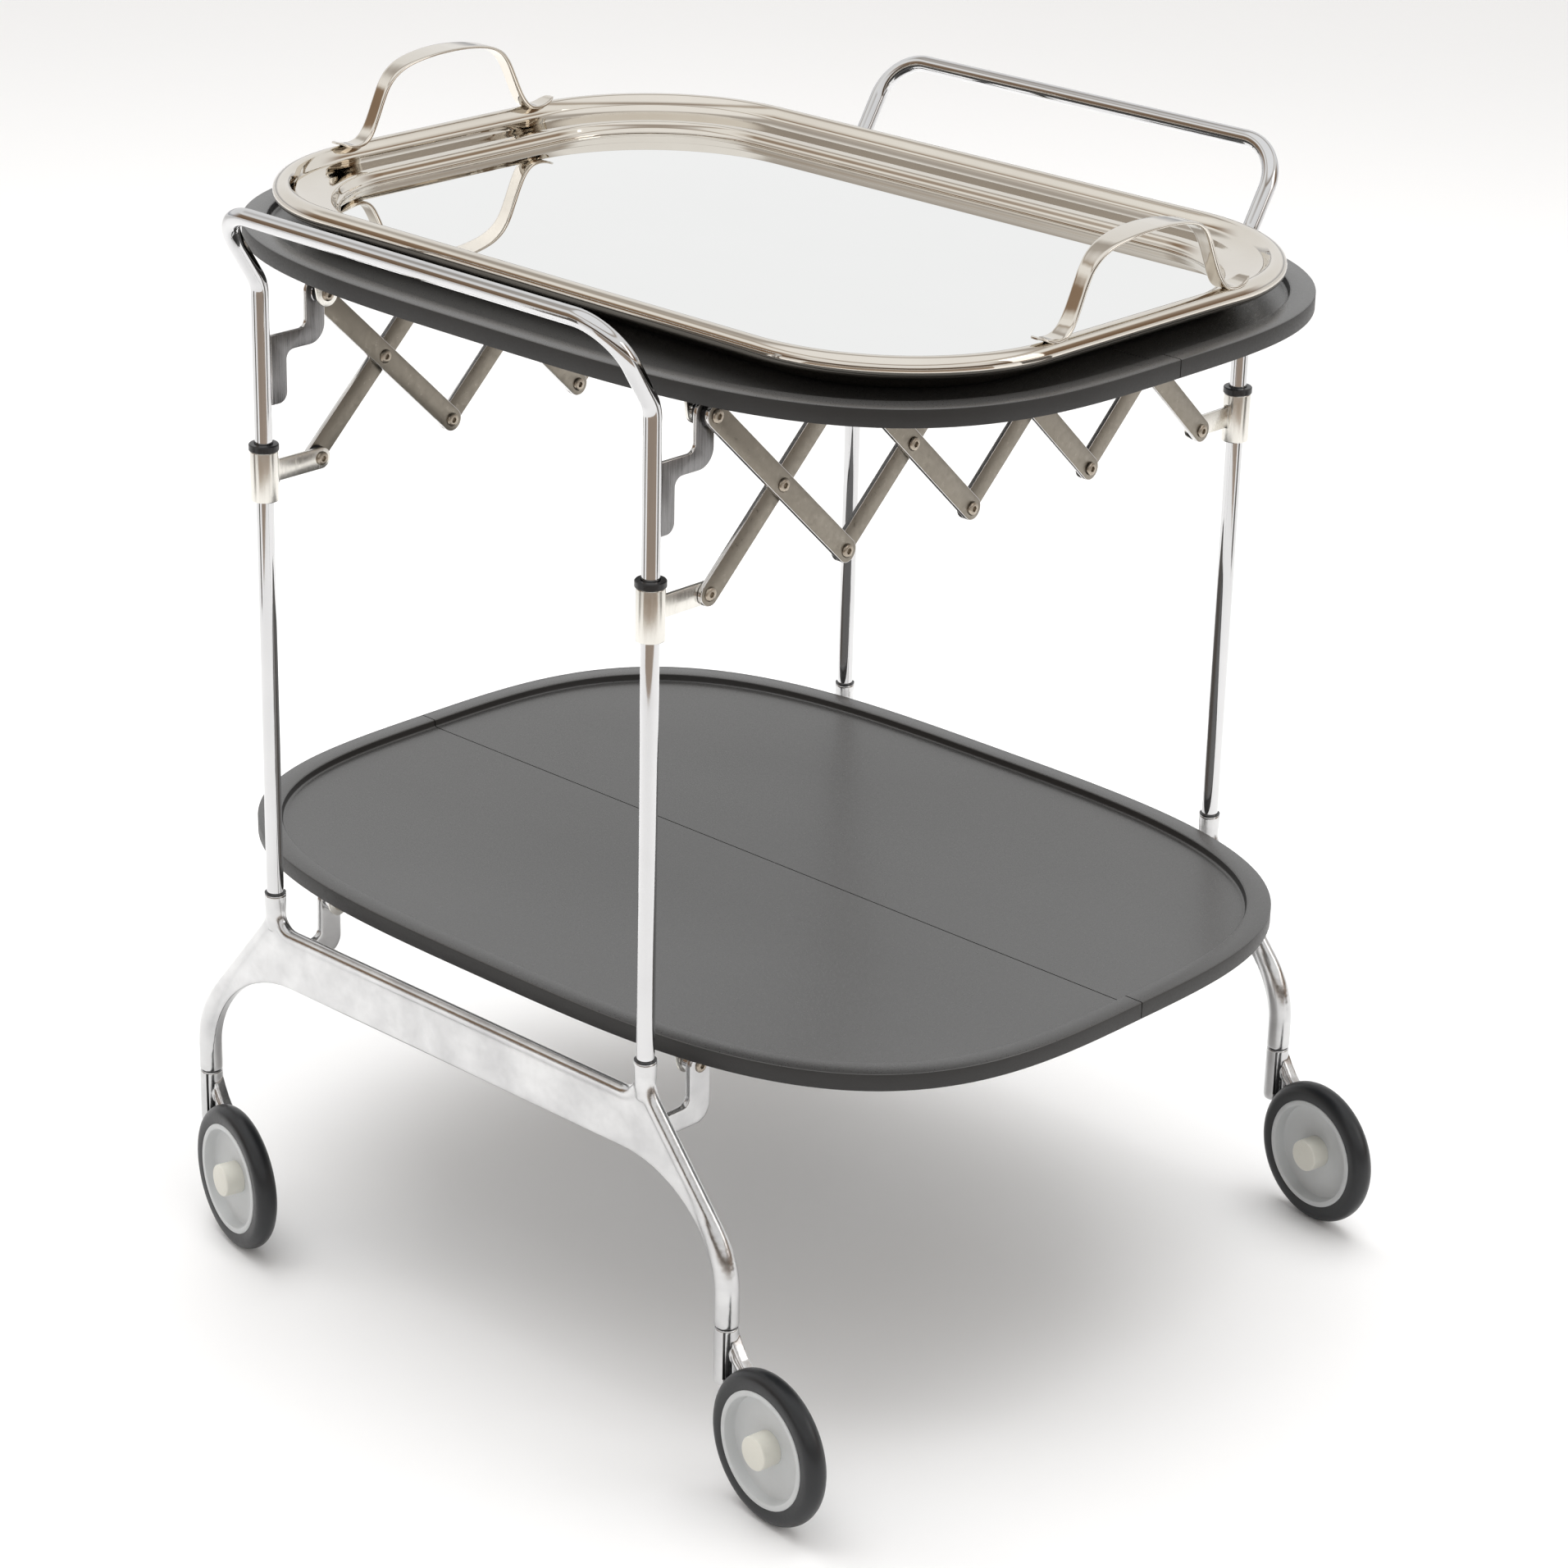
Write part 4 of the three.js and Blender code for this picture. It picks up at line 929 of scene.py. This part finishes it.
def tray_profile(base, rim_z):
    """The tray's section, from the floor's underside up the wall, round the rolled rim and back in."""
    under = [(42, base + 3.9), (42, base + 2.4), (38, base + 2.2), (37, base + 0.4), (36.3, base)]
    under += [(31.5, base + 0.1), (29.5, base + 1.2), (26, base + 4.0), (20, base + 8.4)]
    under += [(15, base + 12.6), (12.5, base + 16.5)]
    turns = [math.radians(-52 - 250 * k / 24) for k in range(25)]
    roll = [(RIM_R + RIM_R * math.cos(a), rim_z + RIM_R * math.sin(a)) for a in turns]
    slope = [(11.8, 0.1), (12.5, -1.0), (13.5, -1.9), (15, -2.8), (17, -3.6), (19, -4.2), (21, -4.6)]
    slope += [(24, -5.0), (28, -5.4), (31.5, -5.7), (33.4, -6.0), (34.4, -6.3), (34.9, -6.9)]
    step = [(35.5, -8.1), (36.1, -9.3), (36.7, -10.5), (37.2, -11.0), (37.9, -11.3), (38.4, -11.8)]
    step += [(38.6, -12.5), (38.7, -13.8)]
    wall = [(inset, rim_z + drop) for inset, drop in slope + step]
    return under + roll + wall + [(38.7, base + 3.9)]


def mirror():
    """The mirror on the tray's floor, with a small chamfer round its top."""
    low, high, chamfer = low_mm("tray_mirror", 2), high_mm("tray_mirror", 2), 0.6
    rings = [
        tray_ring(MIRROR_INSET, low),
        tray_ring(MIRROR_INSET, high - 0.4),
        tray_ring(MIRROR_INSET + chamfer, high),
    ]
    size = len(rings[0])
    verts = [point for ring in rings for point in ring]
    faces = [tuple(reversed(range(size))), tuple(range(2 * size, 3 * size))]
    for row in range(2):
        below, above = row * size, (row + 1) * size
        for i in range(size):
            j = (i + 1) % size
            faces.append((below + i, below + j, above + j, above + i))
    return verts, faces


def tray():
    base = low_mm("tray_body", 2)
    rim_z = high_mm("tray_body", 2) - RIM_R
    build("silver_tray", [loft(tray_profile(base, rim_z))], SILVER, "tray", ["tray_body"],
          smooth=50)
    build("mirror_floor", [mirror()], MIRROR, "tray", ["tray_mirror"], smooth=15)
    for hand, side in (("left", -1), ("right", 1)):
        grip = tray_handle(side, rim_z + FOOT_RISE)
        build(f"tray_grip_{hand}", [grip], SILVER, "tray", [f"tray_handle_{hand}"],
              smooth=60)


# Half of a handle, from foot to top: (y, height, half width, half thickness).
# Heights start FOOT_RISE over the middle of the rolled rim.
FOOT_RISE = 6.9
HANDLE = [
    (97, 2.8, 2.6, 0.8), (95, 2.6, 4.2, 1.0), (91.5, 1.2, 5.8, 1.2), (86.5, -0.4, 6.4, 1.5),
    (80.5, -1.0, 6.4, 1.8), (74.5, 0.2, 6.2, 2.0), (69.5, 4, 5.8, 2.3), (65.5, 10, 5.4, 2.5),
    (61.5, 18, 5.2, 2.6), (57.5, 26.5, 5.2, 2.6), (53, 34.6, 5.6, 2.4), (46.5, 41.2, 6.6, 2.1),
    (37.5, 45.8, 7.8, 1.8), (26, 48.6, 9.0, 1.6), (13, 50.2, 9.8, 1.5), (0, 50.7, 10.2, 1.5),
]


def spline(points, count):
    """A Catmull-Rom curve through rows of numbers."""
    rows = [points[0]] + list(points) + [points[-1]]
    made = []
    spans = len(points) - 1
    for n in range(count + 1):
        place = n / count * spans
        k = min(int(place), spans - 1)
        t = place - k
        row = []
        for a, b, c, d in zip(*rows[k:k + 4]):
            square, cube = 2 * a - 5 * b + 4 * c - d, 3 * b - a - 3 * c + d
            row.append(0.5 * (2 * b + (c - a) * t + square * t * t + cube * t ** 3))
        made.append(row)
    return made


def tray_handle(side, foot_z):
    """An arched strap: wide and flat over the grip, narrow down the legs, with curled feet."""
    half = spline(HANDLE, 90)
    rows = half + [[-y, z, w, t] for y, z, w, t in reversed(half[:-1])]
    x = mid("tray_handle_right", 0)
    path = [Vector((side * x, y, foot_z + z)) for y, z, _, _ in rows]
    return sweep(path, lambda i: strap(rows[i][2], rows[i][3]), (1, 0, 0))


def strap(half_width, half_thickness):
    """A strap's section: crowned along its middle, with a raised round along each edge."""
    section = []
    for k in range(40):
        a = 2 * math.pi * k / 40
        u = math.copysign(abs(math.cos(a)) ** 0.7, math.cos(a))
        v = math.copysign(abs(math.sin(a)) ** 0.9, math.sin(a))
        edge = 0.65 + 0.55 * abs(u) ** 4
        section.append((half_width * u, half_thickness * v * edge))
    return section


# ---- the cart ----

for end, turn in (("front", False), ("rear", True)):
    frame_tube(end, turn)
    yoke(end, turn)
    for side, hand in zip((-1, 1), ("right", "left") if turn else ("left", "right")):
        brackets_and_sliders(end, side, hand, turn)
        chain(end, side, hand, turn)
shelf("upper", UPPER_Z)
shelf("lower", LOWER_Z)
for corner in ("front_left", "front_right", "rear_left", "rear_right"):
    caster(corner)
tray()


# ---- floor, light and camera ----

def floor():
    reach = 14
    mesh = bpy.data.meshes.new("floor")
    corners = [(x, y, 0) for x, y in rectangle(-reach, reach, -reach, reach)]
    mesh.from_pydata(corners, [], [(0, 1, 2, 3)])
    made = bpy.data.objects.new("floor", mesh)
    bpy.context.scene.collection.objects.link(made)
    pale = plastic("pale_floor", (0.93, 0.93, 0.93), (0.91, 0.91, 0.91),
                   rough=0.6, grain=60, bump=0.0, cloud=0.5)
    made.data.materials.append(pale)


def softbox(name, place, target, size, power, glossy=True):
    """A rectangular area light, size in metres and power in watts."""
    light = bpy.data.lights.new(name, "AREA")
    light.shape = "RECTANGLE"
    light.size, light.size_y = size
    light.energy = power
    made = bpy.data.objects.new(name, light)
    made.location = place
    made.visible_glossy = glossy
    made.rotation_euler = (Vector(target) - Vector(place)).to_track_quat("-Z", "Y").to_euler()
    bpy.context.scene.collection.objects.link(made)


VIEW_AZIMUTH = math.radians(42.81)


def reflection_card(name, low, high, light, dark):
    """A dark patch of floor before the cart that only reflections show, low to high degrees off the view."""
    verts, count, above_floor = [], 24, 0.003
    for radius in (1.5, 7.0):
        for i in range(count + 1):
            angle = VIEW_AZIMUTH - math.pi / 2 + math.radians(low + (high - low) * i / count)
            verts.append((radius * math.cos(angle), radius * math.sin(angle), above_floor))
    faces = [(i, i + 1, i + 2 + count, i + 1 + count) for i in range(count)]
    mesh = bpy.data.meshes.new(name)
    mesh.from_pydata(verts, [], faces)
    made = bpy.data.objects.new(name, mesh)
    bpy.context.scene.collection.objects.link(made)
    made.data.materials.append(plastic(name, light, dark, rough=0.7, grain=8, bump=0.0, cloud=2))
    made.visible_camera = False
    made.visible_diffuse = False
    made.visible_shadow = False
    made.visible_transmission = False


def world():
    """A pale studio behind the cart, browner to the sides, with a warm room behind the camera.

    Each ramp runs from the horizon (0) to straight up (1)."""
    made = bpy.data.worlds.new("studio")
    made.use_nodes = True
    tree = made.node_tree
    background = tree.nodes["Background"]
    coord = tree.nodes.new("ShaderNodeTexCoord")
    split = tree.nodes.new("ShaderNodeSeparateXYZ")
    tree.links.new(coord.outputs["Generated"], split.inputs[0])
    toward = tree.nodes.new("ShaderNodeVectorMath")
    toward.operation = "DOT_PRODUCT"
    toward.inputs[1].default_value = (math.sin(VIEW_AZIMUTH), -math.cos(VIEW_AZIMUTH), 0)
    tree.links.new(coord.outputs["Generated"], toward.inputs[0])
    behind = [
        (0.0, (0.80, 0.80, 0.80)), (0.04, (0.42, 0.43, 0.45)), (0.10, (0.60, 0.60, 0.61)),
        (0.17, (0.90, 0.90, 0.90)), (0.60, (0.88, 0.88, 0.875)), (0.70, (0.45, 0.42, 0.39)),
        (0.78, (0.50, 0.47, 0.44)), (0.86, (1.0, 1.0, 1.0)),
    ]
    sides = [
        (0.0, (0.30, 0.21, 0.14)), (0.06, (0.19, 0.125, 0.08)), (0.42, (0.30, 0.215, 0.15)),
        (0.48, (0.78, 0.75, 0.71)), (0.54, (0.96, 0.955, 0.94)), (0.66, (0.96, 0.955, 0.94)),
        (0.72, (0.46, 0.40, 0.34)), (0.80, (1.0, 1.0, 1.0)),
    ]
    room = [
        (0.0, (0.20, 0.15, 0.11)), (0.10, (0.055, 0.042, 0.033)), (0.17, (0.16, 0.12, 0.09)),
        (0.21, (0.27, 0.215, 0.17)), (0.25, (0.88, 0.87, 0.86)), (0.62, (0.95, 0.95, 0.95)),
        (0.70, (0.30, 0.24, 0.19)), (0.80, (1.0, 1.0, 1.0)),
    ]
    colour = colour_ramp(tree, split.outputs["Z"], behind)
    for stops, low, high in ((sides, -0.55, -0.1), (room, 0.3, 0.7)):
        facing = tree.nodes.new("ShaderNodeMapRange")
        facing.interpolation_type = "SMOOTHSTEP"
        facing.inputs["From Min"].default_value = low
        facing.inputs["From Max"].default_value = high
        tree.links.new(toward.outputs["Value"], facing.inputs["Value"])
        mix = tree.nodes.new("ShaderNodeMix")
        mix.data_type = "RGBA"
        tree.links.new(facing.outputs["Result"], mix.inputs[0])
        tree.links.new(colour, mix.inputs[6])
        tree.links.new(colour_ramp(tree, split.outputs["Z"], stops), mix.inputs[7])
        colour = mix.outputs[2]
    tree.links.new(colour, background.inputs["Color"])
    background.inputs["Strength"].default_value = 1.05
    bpy.context.scene.world = made


def camera():
    """A long lens, a little above the cart and turned a little about its own axis."""
    azimuth, elevation, roll = VIEW_AZIMUTH, math.radians(22.62), 0.0243
    target, distance = Vector((0.02424, 0, 0.30909)), 2.7622
    level = math.cos(elevation)
    back = Vector((math.sin(azimuth) * level, -math.cos(azimuth) * level, math.sin(elevation)))
    right = Vector((math.cos(azimuth), math.sin(azimuth), 0))
    up = back.cross(right)
    right, up = right + up * roll, up - right * roll
    data = bpy.data.cameras.new("camera")
    data.lens = 97.40
    data.sensor_width = 36
    made = bpy.data.objects.new("camera", data)
    place = Vector(SHIFT) * MM + target + back * distance
    made.matrix_world = Matrix.Translation(place) @ Matrix((right, up, back)).transposed().to_4x4()
    bpy.context.scene.collection.objects.link(made)
    bpy.context.scene.camera = made


floor()
reflection_card("warm_card", -46, 50, (0.36, 0.285, 0.225), (0.28, 0.22, 0.17))
reflection_card("left_card", -82, -68, (0.10, 0.085, 0.07), (0.07, 0.06, 0.05))
reflection_card("right_card", 66, 86, (0.12, 0.11, 0.10), (0.08, 0.072, 0.066))
world()
softbox("overhead", (-0.3, 0.3, 2.6), (0, 0, 0.3), size=(3.0, 2.4), power=62, glossy=False)
softbox("left", (-2.3, -1.6, 1.5), (0, 0, 0.4), size=(1.4, 1.6), power=8, glossy=False)
softbox("right", (2.4, 1.0, 1.5), (0, 0, 0.4), size=(1.0, 1.6), power=7)
camera()
bpy.context.scene.view_settings.view_transform = "Standard"
